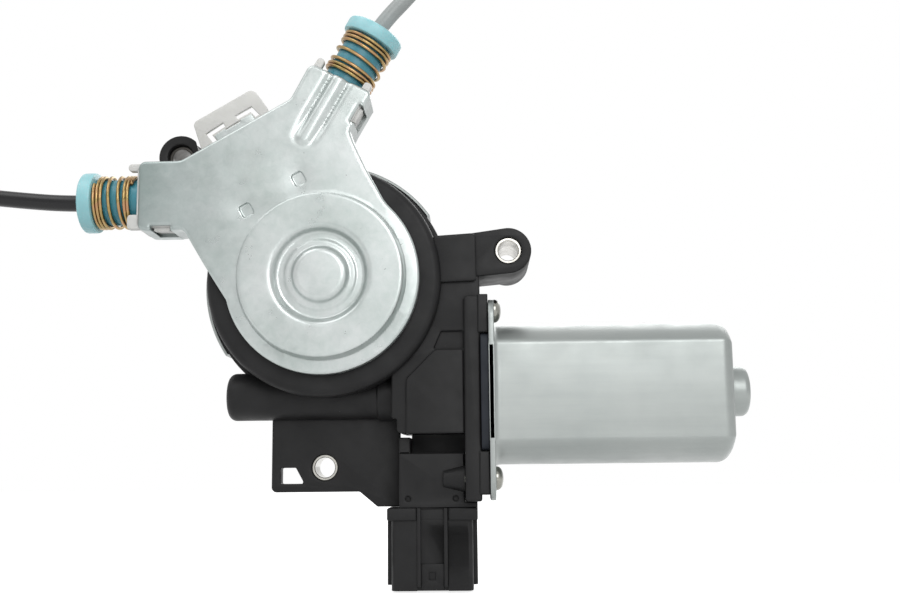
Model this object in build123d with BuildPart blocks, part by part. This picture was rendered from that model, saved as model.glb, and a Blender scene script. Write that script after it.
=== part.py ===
from build123d import *
import os
from math import atan2, cos, degrees, hypot, pi, radians, sin, tan

# Drive unit of a cable window regulator: a worm-gear motor, a cable drum in its housing and the
# spring-loaded ends of two Bowden cables.
# Frame: X runs along the armature towards the motor, Z is up, and -Y is the front, where the stamped
# drum cover is. Y = 0 is the door panel that the three steel sleeves stand on, and the origin is the
# axis of the lower sleeve in that plane. h is a height above the panel, towards the front. x and z
# are counted from the drum's axis. All sizes are in millimetres.

# Places
drum_x, drum_z = 1.2, 57.8          # the drum's axis from the origin
cable_h = 23.0                      # both cables leave the drum at this height
cable_line_r = 26.0                 # distance of each cable's straight line from the drum's axis
motor_h = 12.0                      # the armature's axis above the panel
cup_h, cup_depth = 19.3, 11.5       # the drum housing's rear above the panel, and its depth
cup_top_h = cup_h + cup_depth

# Worm gear: a single-start right-hand worm and a helical wheel
gear_module = 1.0
wheel_teeth = 60
worm_pitch_r = 5.4
addendum = 0.9
dedendum = 1.15
flank_angle = 20.0
tooth_half_width = 0.65             # half a tooth at the pitch line, on the worm and on the wheel
worm_turns = 10
wheel_h, wheel_width = 8.0, 8.0
worm_lead = pi * gear_module
wheel_pitch_r = gear_module * wheel_teeth / 2
motor_z = -(worm_pitch_r + wheel_pitch_r)
wheel_tip_r = wheel_pitch_r + addendum
wheel_root_r = wheel_pitch_r - dedendum
worm_tip_r = worm_pitch_r + addendum
worm_root_r = worm_pitch_r - dedendum

# Running and assembly clearances
running = 0.05                      # a shaft in its bush
side_gap = 0.1                      # two still pieces side by side
turn_gap = 0.3                      # a turning or sliding piece beside a still one

# Gear housing
ring_r, ring_top_h, ring_fillet = 36.5, cup_top_h - 2.8, 2.6
casing_r, casing_h, casing_top_h = 38.6, 4.2, 14.0
chamber_r = 33.0
chamber_roof_h, deck_h = 17.0, 19.0
tube_r, tube_left, tube_neck_x, tube_right = 7.5, -33.0, 15.9, 20.8
tube_neck_r, tube_end_r = 8.1, 2.4
tube_end_wall = 1.5
worm_bore_r = worm_tip_r + 0.4
body_left, body_right, body_top, body_bottom = 20.8, 48.3, 13.3, -47.7
body_half = 12.5                    # from the armature's axis to the front of the motor end
body_rear_h, body_front_h = -4.0, motor_h + body_half
block_left, block_bottom, block_h = 34.0, -1.5, body_front_h + 1.5
wall_left, wall_top, wall_bottom, wall_front_h = 43.2, -5.6, -68.4, body_front_h + 2.0
pocket_x, pocket_r = 41.5, body_half - 0.7

# Mounting lugs and their steel sleeves
sleeve_bore_r, sleeve_wall, sleeve_recess = 3.15, 1.0, 0.6
sleeve_r = sleeve_bore_r + sleeve_wall
right_lug_x, right_lug_z, right_lug_r, right_lug_h = 57.4, 8.5, 7.2, 25.0
left_lug_x, left_lug_z, left_lug_r, left_lug_h = -49.5, 44.0, 6.5, 12.0
low_lug_r, low_lug_h = 6.5, 12.0
bracket_h, bracket_thick, bracket_corner_r = 12.0, 5.0, 1.6

# Gear cover: a steel lid on the rear of the casing, its rim folded up round the free side
lid_h, lid_sheet, lid_r, lid_rim_r, lid_rim_top_h = 2.8, 1.2, 36.2, 39.7, 13.6
lid_screw_r, lid_head_r, lid_screw_circle_r = 1.5, 2.8, 35.6
lid_screw_angles = (75, 118, 200, -22)

# Output shaft and drum
shaft_r, shaft_pilot_r = 5.0, 4.0
bush_wall = 2.5
cup_r, cup_wall = 28.7, 1.5
drum_rear_h, drum_front_h, drum_r = cup_h + 1.6, cup_top_h - 0.4, 24.8
cable_r = 0.75
groove_turns, groove_r, groove_margin = 3.5, 0.8, 2.15
groove_pitch = (drum_front_h - drum_rear_h - groove_margin) / groove_turns
groove_line_r = drum_r - 0.75
cable_lift = 1.6                    # the left cable leaves the drum this far in front of cable_h, the upper behind

# Drum housing (nylon)
cup_floor = 1.4
arm_half, arm_rear_h, arm_base, arm_start, arm_length = 9.7, 15.2, 8.0, 35.0, 57.8
arm_angles = {"left": 180.0, "upper": 60.5}
arm_turns = {"left": -1, "upper": 1}   # the side of the cable's line that the drum's axis is on

# Drum cover (zinc-plated steel)
cover_sheet, cover_r, cover_rim = 1.2, 30.0, 3.2
cover_h = cup_top_h + cover_sheet
cover_arm_half = arm_half + side_gap + cover_sheet
# Each arm of the cover has a folded flange on the drum's side, with a window for a hook of the housing.
flange_from, flange_low_h = arm_length - 15.3, cover_h - 13.0
window_from, window_to, window_low_h = arm_length - 10.3, arm_length - 4.5, cover_h - 7.5
window_reach = 1.6                  # how far the window runs over the fold into the front face
hook_gap = 0.35

# Cable plugs, springs and conduits
plug_r, plug_flange_r = 7.2, 9.5
plug_inner, plug_seat, plug_outer = arm_length - 12.8, arm_length + 16.6, arm_length + 20.4
plug_travel = 5.0
spring_r, spring_wire_r, spring_turns = 8.0, 0.5, 7.0
conduit_r, conduit_socket = 2.6, plug_seat - 0.4
fitting_length, cable_stub, nipple_r, nipple_length = 13.0, 9.0, 2.2, 5.0

# Motor
can_r, can_flat, can_wall, can_left, can_right, can_end_r = 22.0, 16.0, 1.6, 53.0, 128.3, 3.8
flange_thick, flange_height, flange_width = 2.2, 64.0, 34.0
flange_z = -36.4
boss_r, boss_right = 7.9, 132.6
screw_h, screw_zs, screw_r, screw_end = 20.0, (-8.9, -61.6), 1.6, 42.0
armature_r = 2.5
core_r, core_left, core_right, core_slots = 13.4, 66.0, 102.0, 10
magnet_span, magnet_left, magnet_right = 76.0, 62.0, 106.0

# Connector module: lid, plug shell and blades
seam = 0.1
shell_left, shell_right, shell_top, shell_bottom = 21.0, 45.3, -74.0, -95.0
shell_rear_h, shell_front_h, shell_wall = 5.0, 21.0, 1.8
collar_left, collar_right, collar_top = 19.5, 46.8, -70.3
blade_width, blade_thick, blade_tip = 2.2, 0.8, -86.0


def front(h, x=0.0, z=0.0):
    """A sketch plane seen from the front, h above the panel, with its origin x, z from the drum's axis."""
    return Plane(origin=(drum_x + x, -h, drum_z + z), x_dir=(1, 0, 0), z_dir=(0, -1, 0))


def around(r, angle):
    """The point at a radius and an angle about the drum's axis, counted from +X towards +Z."""
    return r * cos(radians(angle)), r * sin(radians(angle))


def across_motor(x):
    """A plane square to the armature, x from the drum's axis: local x runs to the rear, local y up."""
    return Plane(origin=(drum_x + x, -motor_h, drum_z + motor_z), x_dir=(0, 1, 0), z_dir=(1, 0, 0))


def along_motor():
    """The plane through the armature's axis: local x runs along it from the drum's axis, local y is up."""
    return front(motor_h, 0, motor_z)


def from_below(z):
    """A level plane, z from the drum's axis, that faces down: local x is X, local y the height h."""
    return Plane(origin=(drum_x, 0, drum_z + z), x_dir=(1, 0, 0), z_dir=(0, 0, -1))


def cable_direction(side):
    angle = radians(arm_angles[side])
    return cos(angle), sin(angle)


def cable_point(side, s, out=0.0):
    """The point of a cable's line s from where it leaves the drum, out to the side away from the drum."""
    along_x, along_z = cable_direction(side)
    turn = arm_turns[side]
    r = cable_line_r + out
    return -turn * along_z * r + along_x * s, turn * along_x * r + along_z * s


def lines_meet(out):
    """The point where the two cables' lines cross when each is moved out from the drum."""
    left_x, left_z = cable_direction("left")
    upper_x, upper_z = cable_direction("upper")
    left_turn, upper_turn = arm_turns["left"], arm_turns["upper"]
    reach = (cable_line_r + out) / (left_turn * upper_turn * (left_x * upper_z - left_z * upper_x))
    return (
        reach * (upper_turn * upper_x - left_turn * left_x),
        reach * (upper_turn * upper_z - left_turn * left_z),
    )


def across_cable(side, s):
    """A plane square to a cable's line: local x runs to the front, local y across the arm."""
    x, z = cable_point(side, s)
    along_x, along_z = cable_direction(side)
    origin = (drum_x + x, -cable_h, drum_z + z)
    return Plane(origin=origin, x_dir=(0, -1, 0), z_dir=(along_x, 0, along_z))


def along_cable(side, h=cable_h):
    """A front plane whose local x runs along a cable's line from where it leaves the drum."""
    x, z = cable_point(side, 0)
    along_x, along_z = cable_direction(side)
    origin = (drum_x + x, -h, drum_z + z)
    return Plane(origin=origin, x_dir=(along_x, 0, along_z), z_dir=(0, -1, 0))


drum_axis = Axis((drum_x, 0, drum_z), (0, 1, 0))
motor_axis = Axis((drum_x, -motor_h, drum_z + motor_z), (1, 0, 0))
sides = ("left", "upper")
written = []


def write(part, name):
    part.label = name
    export_step(part, f"parts/{name}.step")
    written.append(name)


os.makedirs("parts", exist_ok=True)

# --- Gear housing: casing, raised ring, worm tube, motor end, two lugs and the lower bracket ---------

bracket_left, bracket_low, bracket_step_x, bracket_foot = -18.0, -65.4, 9.8, -70.1
bracket_top = motor_z - 1.0
window_left, window_top, window_low = -15.2, -57.8, -62.8
seat_r = 6.0

with BuildPart() as gear_housing:
    with BuildSketch(front(casing_h)):
        Circle(casing_r)
    extrude(amount=casing_top_h - casing_h)
    with BuildSketch(front(casing_top_h)):
        Circle(ring_r)
    extrude(amount=ring_top_h - casing_top_h)
    ring_edge = gear_housing.edges().filter_by(GeomType.CIRCLE).sort_by(Axis.Y)[0]
    fillet(ring_edge, ring_fillet)
    # Room for the drum housing: a round well, open over the sector where its two arms leave.
    with BuildSketch(front(deck_h)):
        Circle(cup_r + turn_gap)
        with BuildLine():
            Polyline(
                lines_meet(-arm_half - turn_gap),
                cable_point("left", arm_length, -arm_half - turn_gap),
                lines_meet(casing_r),
                cable_point("upper", arm_length, -arm_half - turn_gap),
                close=True,
            )
        make_face()
    extrude(amount=ring_top_h, mode=Mode.SUBTRACT)
    # Worm tube with its rounded closed end and a narrower neck
    with BuildSketch(along_motor()):
        with BuildLine():
            Polyline(
                (tube_left, tube_r - tube_end_r), (tube_left, 0), (tube_right, 0), (tube_right, tube_neck_r)
            )
            RadiusArc((tube_left, tube_r - tube_end_r), (tube_left + tube_end_r, tube_r), tube_end_r)
            Polyline(
                (tube_left + tube_end_r, tube_r),
                (tube_neck_x, tube_r),
                (tube_neck_x, tube_neck_r),
                (tube_right, tube_neck_r),
            )
        make_face()
    revolve(axis=motor_axis)
    # Motor end of the housing
    with BuildSketch(front(body_rear_h)):
        with BuildLine():
            Polyline(
                (body_left, motor_z - tube_r - 0.3),
                (body_left, -26),
                (28.2, -13),
                (31, 0),
                (block_left, body_top),
                (body_right - 1, body_top + 0.8),
                (body_right, block_bottom),
                (body_right, body_bottom),
                (body_left + 1.6, body_bottom),
                (body_left + 1.6, motor_z - tube_r - 0.3),
                close=True,
            )
        make_face()
    extrude(amount=body_front_h - body_rear_h)
    with BuildSketch(front(body_front_h)):
        with BuildLine():
            Polyline(
                (block_left, body_top),
                (body_right - 1, body_top + 0.8),
                (body_right - 1, block_bottom + 0.4),
                (block_left, block_bottom),
                close=True,
            )
        make_face()
    extrude(amount=block_h - body_front_h)
    with BuildSketch(front(body_rear_h, wall_left, wall_bottom)):
        Rectangle(body_right - wall_left, wall_top - wall_bottom, align=(Align.MIN, Align.MIN))
    extrude(amount=wall_front_h - body_rear_h)
    # Right lug on its arm
    with BuildSketch(front(4.0)):
        with BuildLine():
            Polyline(
                (body_right - 6, body_top + 0.4),
                (right_lug_x - 2, right_lug_z + right_lug_r - 0.15),
                (right_lug_x - 2, right_lug_z - right_lug_r + 0.15),
                (body_right - 6, block_bottom + 1.4),
                close=True,
            )
        make_face()
    extrude(amount=right_lug_h - 4.0)
    with BuildSketch(front(0)):
        with Locations((right_lug_x, right_lug_z)):
            Circle(right_lug_r)
    extrude(amount=right_lug_h)
    # Upper-left lug on a tapered arm, and the lower bracket
    with BuildSketch(front(casing_h)):
        with BuildLine():
            lug_reach = hypot(left_lug_x, left_lug_z)
            lug_along_x, lug_along_z = left_lug_x / lug_reach, left_lug_z / lug_reach
            Polyline(
                (20 * lug_along_x - 16 * lug_along_z, 20 * lug_along_z + 16 * lug_along_x),
                (left_lug_x - 6.2 * lug_along_z, left_lug_z + 6.2 * lug_along_x),
                (left_lug_x + 6.2 * lug_along_z, left_lug_z - 6.2 * lug_along_x),
                (20 * lug_along_x + 16 * lug_along_z, 20 * lug_along_z - 16 * lug_along_x),
                close=True,
            )
        make_face()
    extrude(amount=left_lug_h - casing_h)
    with BuildSketch(front(0)):
        with Locations((left_lug_x, left_lug_z)):
            Circle(left_lug_r)
        with Locations((-drum_x, -drum_z)):
            Circle(low_lug_r)
    extrude(amount=low_lug_h)
    with BuildSketch(front(bracket_h - bracket_thick)) as bracket_outline:
        with BuildLine():
            Polyline(
                (bracket_left - 1, bracket_top),
                (bracket_left, motor_z - tube_r - 2),
                (bracket_left, bracket_low),
                (bracket_step_x, bracket_low),
                (bracket_step_x + 5.6, bracket_foot),
                (body_left + 0.6, bracket_foot),
                (body_left + 0.6, bracket_top),
                close=True,
            )
        make_face()
        low_corner = bracket_outline.vertices().sort_by(Axis.X)[1]
        fillet(low_corner, bracket_corner_r)
    extrude(amount=bracket_thick)
    # Trapezoid window in the bracket
    with BuildSketch(front(0)):
        with BuildLine():
            Polyline(
                (window_left, window_top),
                (window_left + 4.8, window_top),
                (window_left + 7.1, window_low + 0.8),
                (window_left + 7.0, window_low),
                (window_left, window_low),
                close=True,
            )
        make_face()
    extrude(amount=bracket_h, mode=Mode.SUBTRACT)
    # Sleeve holes
    with BuildSketch(front(-1)):
        with Locations((right_lug_x, right_lug_z), (left_lug_x, left_lug_z), (-drum_x, -drum_z)):
            Circle(sleeve_r)
    extrude(amount=right_lug_h + 2, mode=Mode.SUBTRACT)
    # Wheel chamber, open to the rear, and the seat of the gear cover on the motor end
    with BuildSketch(front(body_rear_h - 1)):
        Circle(lid_r + side_gap)
    extrude(amount=casing_h - body_rear_h + 1, mode=Mode.SUBTRACT)
    with BuildSketch(front(casing_h)):
        Circle(chamber_r)
    extrude(amount=chamber_roof_h - casing_h, mode=Mode.SUBTRACT)
    with BuildSketch(front(chamber_roof_h - 1)):
        Circle(shaft_r + bush_wall)
    extrude(amount=deck_h - chamber_roof_h + 2, mode=Mode.SUBTRACT)
    # Screw holes of the gear cover, with room for the heads
    with BuildSketch(front(body_rear_h - 1)):
        for angle in lid_screw_angles:
            with Locations(around(lid_screw_circle_r, angle)):
                Circle(lid_head_r + turn_gap)
    extrude(amount=lid_h - body_rear_h + 1, mode=Mode.SUBTRACT)
    with BuildSketch(front(lid_h - 0.5)):
        for angle in lid_screw_angles:
            with Locations(around(lid_screw_circle_r, angle)):
                Circle(lid_screw_r)
    extrude(amount=10.0, mode=Mode.SUBTRACT)
    # Bores for the worm, its end bush, the middle bush and the brush card
    with BuildSketch(along_motor()):
        with BuildLine():
            Polyline(
                (tube_left + tube_end_wall, 0),
                (tube_left + tube_end_wall, 4.0),
                (-22, 4.0),
                (-22, worm_bore_r),
                (34, worm_bore_r),
                (34, seat_r),
                (pocket_x, seat_r),
                (pocket_x, pocket_r),
                (body_right + 1, pocket_r),
                (body_right + 1, 0),
                close=True,
            )
        make_face()
    revolve(axis=motor_axis, mode=Mode.SUBTRACT)
    # Bosses that take the two flange screws, the lower one with a tapered root
    for screw_z in screw_zs:
        with BuildSketch(across_motor(body_right - 1)):
            with Locations((motor_h - screw_h, screw_z - motor_z)):
                Circle(3.2)
        extrude(amount=can_left - flange_thick - body_right + 1)
        with BuildSketch(across_motor(screw_end)):
            with Locations((motor_h - screw_h, screw_z - motor_z)):
                Circle(screw_r)
        extrude(amount=can_left - screw_end, mode=Mode.SUBTRACT)

write(gear_housing.part, "gear_housing")

# --- Steel sleeves in the three lugs ------------------------------------------------------------------

sleeve_places = {
    "sleeve_lower": (-drum_x, -drum_z, low_lug_h),
    "sleeve_left": (left_lug_x, left_lug_z, left_lug_h),
    "sleeve_right": (right_lug_x, right_lug_z, right_lug_h),
}
for name, (x, z, lug_h) in sleeve_places.items():
    with BuildPart() as sleeve:
        with BuildSketch(front(0, x, z)):
            Circle(sleeve_r)
            Circle(sleeve_bore_r, mode=Mode.SUBTRACT)
        extrude(amount=lug_h - sleeve_recess)
    write(sleeve.part, name)

# --- Gear cover with its screws -----------------------------------------------------------------------

# The rim leaves out the motor's side: a fan of lines from the axis marks the gap.
rim_from, rim_to, rim_gap_steps = 35.0, 214.0, 5
rim_gap_angles = [rim_to + (rim_from + 360 - rim_to) * n / rim_gap_steps for n in range(rim_gap_steps + 1)]

with BuildPart() as gear_cover:
    with BuildSketch(front(lid_h)):
        Circle(lid_r)
    extrude(amount=lid_sheet)
    for inner_r, top_h in ((0, lid_h + lid_sheet), (casing_r + side_gap, lid_rim_top_h)):
        with BuildSketch(front(lid_h)):
            Circle(lid_rim_r)
            if inner_r:
                Circle(inner_r, mode=Mode.SUBTRACT)
            with BuildLine():
                Polyline((0, 0), *(around(2 * lid_rim_r, angle) for angle in rim_gap_angles), close=True)
            make_face(mode=Mode.SUBTRACT)
        extrude(amount=top_h - lid_h)
    # The upper-left lug's arm passes through a gap in the rim.
    with BuildSketch(front(casing_h - 0.2)):
        with Locations((left_lug_x * 0.7, left_lug_z * 0.7)):
            Rectangle(34, 30, rotation=degrees(atan2(left_lug_z, left_lug_x)))
    extrude(amount=lid_rim_top_h, mode=Mode.SUBTRACT)
    # Pilot bearing for the output shaft, pressed rearwards
    with BuildSketch(front(0.6)):
        Circle(shaft_pilot_r + 3)
    extrude(amount=lid_h + lid_sheet - 0.6)
    with BuildSketch(front(1.8)):
        Circle(shaft_pilot_r + running)
    extrude(amount=lid_h, mode=Mode.SUBTRACT)
    with BuildSketch(front(lid_h)):
        for angle in lid_screw_angles:
            with Locations(around(lid_screw_circle_r, angle)):
                Circle(lid_screw_r)
    extrude(amount=lid_sheet, mode=Mode.SUBTRACT)
write(gear_cover.part, "gear_cover")

with BuildPart() as gear_cover_screws:
    for angle in lid_screw_angles:
        screw_x, screw_z = around(lid_screw_circle_r, angle)
        with BuildSketch(front(lid_h, screw_x, screw_z)):
            Circle(lid_screw_r)
        extrude(amount=9.0)
        with BuildSketch(front(lid_h, screw_x, screw_z)):
            Circle(lid_head_r)
            RegularPolygon(1.3, 6, mode=Mode.SUBTRACT)
        extrude(amount=-1.8)
write(gear_cover_screws.part, "gear_cover_screws")

# --- Worm wheel, damper, drive plate and output shaft --------------------------------------------------


def wheel_outline(turn):
    """The wheel's outline: straight-flanked teeth, the first one straight down, turned by some degrees."""
    points = []
    tip_half = (tooth_half_width - addendum * tan(radians(flank_angle))) / wheel_tip_r
    root_half = (tooth_half_width + dedendum * tan(radians(flank_angle))) / wheel_root_r
    for tooth in range(wheel_teeth):
        middle = -pi / 2 + radians(turn) + 2 * pi * tooth / wheel_teeth
        for r, offset in (
            (wheel_root_r, -root_half),
            (wheel_tip_r, -tip_half),
            (wheel_tip_r, tip_half),
            (wheel_root_r, root_half),
        ):
            points.append((r * cos(middle + offset), r * sin(middle + offset)))
    return points


# The wheel's teeth lean as the worm's thread does where they meet.
lean = degrees(wheel_width / 2 * worm_lead / (2 * pi * worm_pitch_r) / wheel_pitch_r)
damper_r, damper_inner_r, dish_h, plate_h, plate_thick = 24.0, 12.0, 10.6, 14.6, 1.2

with BuildPart() as worm_wheel:
    with BuildSketch(front(wheel_h)):
        with BuildLine():
            Polyline(*wheel_outline(-lean), close=True)
        make_face()
    with BuildSketch(front(wheel_h + wheel_width)):
        with BuildLine():
            Polyline(*wheel_outline(lean), close=True)
        make_face()
    loft(ruled=True)
    with BuildSketch(front(dish_h)):
        Circle(damper_r)
        Circle(damper_inner_r, mode=Mode.SUBTRACT)
    extrude(amount=wheel_width, mode=Mode.SUBTRACT)
    with BuildSketch(front(plate_h)):
        Circle(damper_inner_r + 0.5)
    extrude(amount=wheel_width, mode=Mode.SUBTRACT)
    with BuildSketch(front(wheel_h - 1)):
        Circle(shaft_r)
    extrude(amount=wheel_width + 2, mode=Mode.SUBTRACT)
write(worm_wheel.part, "worm_wheel")

with BuildPart() as damper:
    with BuildSketch(front(dish_h)):
        Circle(damper_r)
        Circle(damper_inner_r, mode=Mode.SUBTRACT)
        with PolarLocations(damper_r - 2.5, 6):
            Circle(1.8, mode=Mode.SUBTRACT)
    extrude(amount=plate_h - dish_h)
write(damper.part, "damper")

with BuildPart() as drive_plate:
    with BuildSketch(front(plate_h)):
        Circle(damper_r - 0.4)
        Circle(shaft_r, mode=Mode.SUBTRACT)
        with PolarLocations(damper_r - 8, 3):
            Circle(2.5, mode=Mode.SUBTRACT)
    extrude(amount=plate_thick)
write(drive_plate.part, "drive_plate")

drive_flat = 3.9
shaft_top_h = cover_h + 1.0
with BuildPart() as output_shaft:
    with BuildSketch(front(2.0)):
        Circle(shaft_pilot_r)
    extrude(amount=wheel_h - 2.0)
    with BuildSketch(front(wheel_h - 0.6)):
        Circle(shaft_r)
    extrude(amount=cup_h + cup_floor - wheel_h + 0.6)
    with BuildSketch(front(cup_h + cup_floor)):
        Circle(shaft_r)
        with Locations((0, 0)):
            Rectangle(2 * shaft_r, 2 * drive_flat, mode=Mode.INTERSECT)
    extrude(amount=shaft_top_h - cup_h - cup_floor)
write(output_shaft.part, "output_shaft")

with BuildPart() as shaft_bush:
    with BuildSketch(front(chamber_roof_h)):
        Circle(shaft_r + bush_wall)
        Circle(shaft_r + running, mode=Mode.SUBTRACT)
    extrude(amount=deck_h - chamber_roof_h)
write(shaft_bush.part, "shaft_bush")

with BuildPart() as shaft_seal:
    with BuildSketch(front(deck_h)):
        Circle(shaft_r + bush_wall)
        Circle(shaft_r + running, mode=Mode.SUBTRACT)
    extrude(amount=cup_h + cup_floor - deck_h - 0.2)
write(shaft_seal.part, "shaft_seal")

# --- Armature: shaft with the worm, core, windings and commutator --------------------------------------

worm_length = worm_turns * worm_lead
shaft_left = tube_left + tube_end_wall + 0.7
shaft_right = boss_right - 1.6
worm_origin = (drum_x - (worm_length - worm_lead) / 2, -motor_h, drum_z + motor_z)

with BuildPart() as worm_shaft:
    with BuildSketch(along_motor()):
        with BuildLine():
            Polyline(
                (shaft_left, 0),
                (shaft_left, armature_r),
                (-worm_length / 2 - 2, armature_r),
                (-worm_length / 2 - 1, worm_root_r),
                (worm_length / 2 + 1, worm_root_r),
                (worm_length / 2 + 2, armature_r),
                (shaft_right, armature_r),
                (shaft_right, 0),
                close=True,
            )
        make_face()
    revolve(axis=motor_axis)
    with BuildLine():
        thread_line = Helix(
            worm_lead, worm_length - worm_lead, worm_pitch_r, center=worm_origin, direction=(1, 0, 0)
        )
    thread_start = thread_line @ 0
    radial = thread_start - Vector(*worm_origin)
    with BuildSketch(Plane(origin=thread_start, x_dir=(1, 0, 0), z_dir=radial.cross(Vector(1, 0, 0)))):
        root = dedendum + 0.2
        with BuildLine():
            tip_half = tooth_half_width - addendum * tan(radians(flank_angle))
            sunk_half = tooth_half_width + root * tan(radians(flank_angle))
            Polyline(
                (-sunk_half, root), (-tip_half, -addendum), (tip_half, -addendum), (sunk_half, root), close=True
            )
        make_face()
    sweep(path=thread_line, is_frenet=True)
write(worm_shaft.part, "worm_shaft")

with BuildPart() as armature_core:
    with BuildSketch(across_motor(core_left)):
        Circle(core_r)
        Circle(armature_r, mode=Mode.SUBTRACT)
        with PolarLocations(core_r - 2.9, core_slots):
            SlotOverall(5.4, 3.0, mode=Mode.SUBTRACT)
        with PolarLocations(core_r - 0.6, core_slots):
            Rectangle(2.4, 1.0, mode=Mode.SUBTRACT)
    extrude(amount=core_right - core_left)
write(armature_core.part, "armature_core")

winding_r, winding_length = 12.4, 7.0
with BuildPart() as windings:
    for x, away in ((core_left, -1), (core_right, 1)):
        with BuildSketch(across_motor(x)):
            Circle(winding_r)
            Circle(armature_r, mode=Mode.SUBTRACT)
        extrude(amount=away * winding_length)
        outer = windings.edges().filter_by(GeomType.CIRCLE).sort_by(Axis.X)
        rim = [e for e in outer if abs(e.radius - winding_r) < 0.01]
        fillet(rim[0] if away < 0 else rim[-1], 2.5)
write(windings.part, "windings")

commutator_r, commutator_left, commutator_right = 5.0, 42.4, 51.0
with BuildPart() as commutator:
    with BuildSketch(across_motor(commutator_left)):
        Circle(commutator_r)
        Circle(armature_r, mode=Mode.SUBTRACT)
        with PolarLocations(commutator_r, core_slots):
            Rectangle(1.0, 0.4, mode=Mode.SUBTRACT)
    extrude(amount=commutator_right - commutator_left)
write(commutator.part, "commutator")

# --- Bushes of the armature ----------------------------------------------------------------------------

bushes = {
    "end_bush": (tube_left + tube_end_wall + 1.2, -24.0, 4.0),
    "middle_bush": (34.6, 40.6, seat_r),
    "rear_bush": (127.2, 130.8, 6.2),
}
for name, (left, right, outer_r) in bushes.items():
    with BuildPart() as bush:
        with BuildSketch(across_motor(left)):
            Circle(outer_r)
            Circle(armature_r + running, mode=Mode.SUBTRACT)
        extrude(amount=right - left)
    write(bush.part, name)

with BuildPart() as thrust_pad:
    with BuildSketch(across_motor(tube_left + tube_end_wall)):
        Circle(3.8)
    extrude(amount=0.6)
write(thrust_pad.part, "thrust_pad")

# --- Motor can, magnets, screws and gasket ---------------------------------------------------------------


def can_section(r, flat):
    """A circle cut by two flats that face the front and the rear."""
    Circle(r)
    Rectangle(2 * flat, 2 * r, mode=Mode.INTERSECT)


with BuildPart() as motor_can:
    with BuildSketch(across_motor(can_left - flange_thick)) as can_outline:
        can_section(can_r, can_flat)
        fillet(can_outline.vertices(), 3.0)
    extrude(amount=can_right - can_left + flange_thick)
    fillet(motor_can.faces().sort_by(Axis.X)[-1].edges(), can_end_r)
    with BuildSketch(across_motor(can_left - flange_thick)):
        with Locations((0, flange_z - motor_z)):
            RectangleRounded(flange_width, flange_height, 6.0)
    extrude(amount=flange_thick)
    with BuildSketch(across_motor(can_right)):
        Circle(boss_r)
    extrude(amount=boss_right - can_right)
    fillet(motor_can.faces().sort_by(Axis.X)[-1].edges(), 2.4)
    with BuildSketch(across_motor(boss_right - 0.5)):
        Circle(1.5)
    extrude(amount=1.3)
    fillet(motor_can.faces().sort_by(Axis.X)[-1].edges(), 0.7)
    with BuildSketch(across_motor(can_left - flange_thick)) as can_inside:
        can_section(can_r - can_wall, can_flat - can_wall)
        fillet(can_inside.vertices(), 1.6)
    extrude(amount=can_right - can_left + flange_thick - can_wall, mode=Mode.SUBTRACT)
    with BuildSketch(across_motor(can_left)):
        Circle(6.2)
    extrude(amount=boss_right - 1.4 - can_left, mode=Mode.SUBTRACT)
    with BuildSketch(across_motor(can_left)):
        for screw_z in screw_zs:
            with Locations((motor_h - screw_h, screw_z - motor_z)):
                Circle(screw_r)
    extrude(amount=-flange_thick, mode=Mode.SUBTRACT)
write(motor_can.part, "motor_can")

with BuildPart() as magnets:
    with BuildSketch(across_motor(magnet_left)):
        Circle(can_r - can_wall)
        Circle(core_r + 0.8, mode=Mode.SUBTRACT)
        reach = can_r + 5
        half = radians(90 - magnet_span / 2)
        for way in (1, -1):
            with BuildLine():
                Polyline(
                    (0, 0),
                    (way * reach * cos(half), reach * sin(half)),
                    (way * reach, 0),
                    (way * reach * cos(half), -reach * sin(half)),
                    close=True,
                )
            make_face(mode=Mode.SUBTRACT)
    extrude(amount=magnet_right - magnet_left)
write(magnets.part, "magnets")

with BuildPart() as flange_screws:
    for screw_z in screw_zs:
        with BuildSketch(across_motor(can_left)):
            with Locations((motor_h - screw_h, screw_z - motor_z)):
                Circle(screw_r)
        extrude(amount=screw_end + 1 - can_left)
        with BuildSketch(front(screw_h, 0, screw_z)):
            with BuildLine():
                head = Polyline((can_left, 0), (can_left, 3.6), (can_left + 0.9, 3.6))
                ThreePointArc(head @ 1, (can_left + 2.1, 2.1), (can_left + 2.5, 0))
                Line((can_left + 2.5, 0), (can_left, 0))
            make_face()
        revolve(axis=Axis((drum_x, -screw_h, drum_z + screw_z), (1, 0, 0)))
        with BuildSketch(across_motor(can_left + 1.6)):
            with Locations((motor_h - screw_h, screw_z - motor_z)):
                Rectangle(3.2, 0.8)
                Rectangle(0.8, 3.2)
        extrude(amount=1.0, mode=Mode.SUBTRACT)
write(flange_screws.part, "flange_screws")

gasket_top, gasket_low = -6.0, -53.0
with BuildPart() as flange_gasket:
    with BuildSketch(across_motor(body_right)):
        with Locations((0, (gasket_top + gasket_low) / 2 - motor_z)):
            RectangleRounded(flange_width - 2, gasket_top - gasket_low, 3.0)
        Circle(pocket_r + 1, mode=Mode.SUBTRACT)
        with Locations((motor_h - screw_h, screw_zs[0] - motor_z)):
            Circle(3.2 + side_gap, mode=Mode.SUBTRACT)
    extrude(amount=can_left - flange_thick - body_right)
write(flange_gasket.part, "flange_gasket")

# --- Brush card, brushes and their springs ----------------------------------------------------------------

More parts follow.
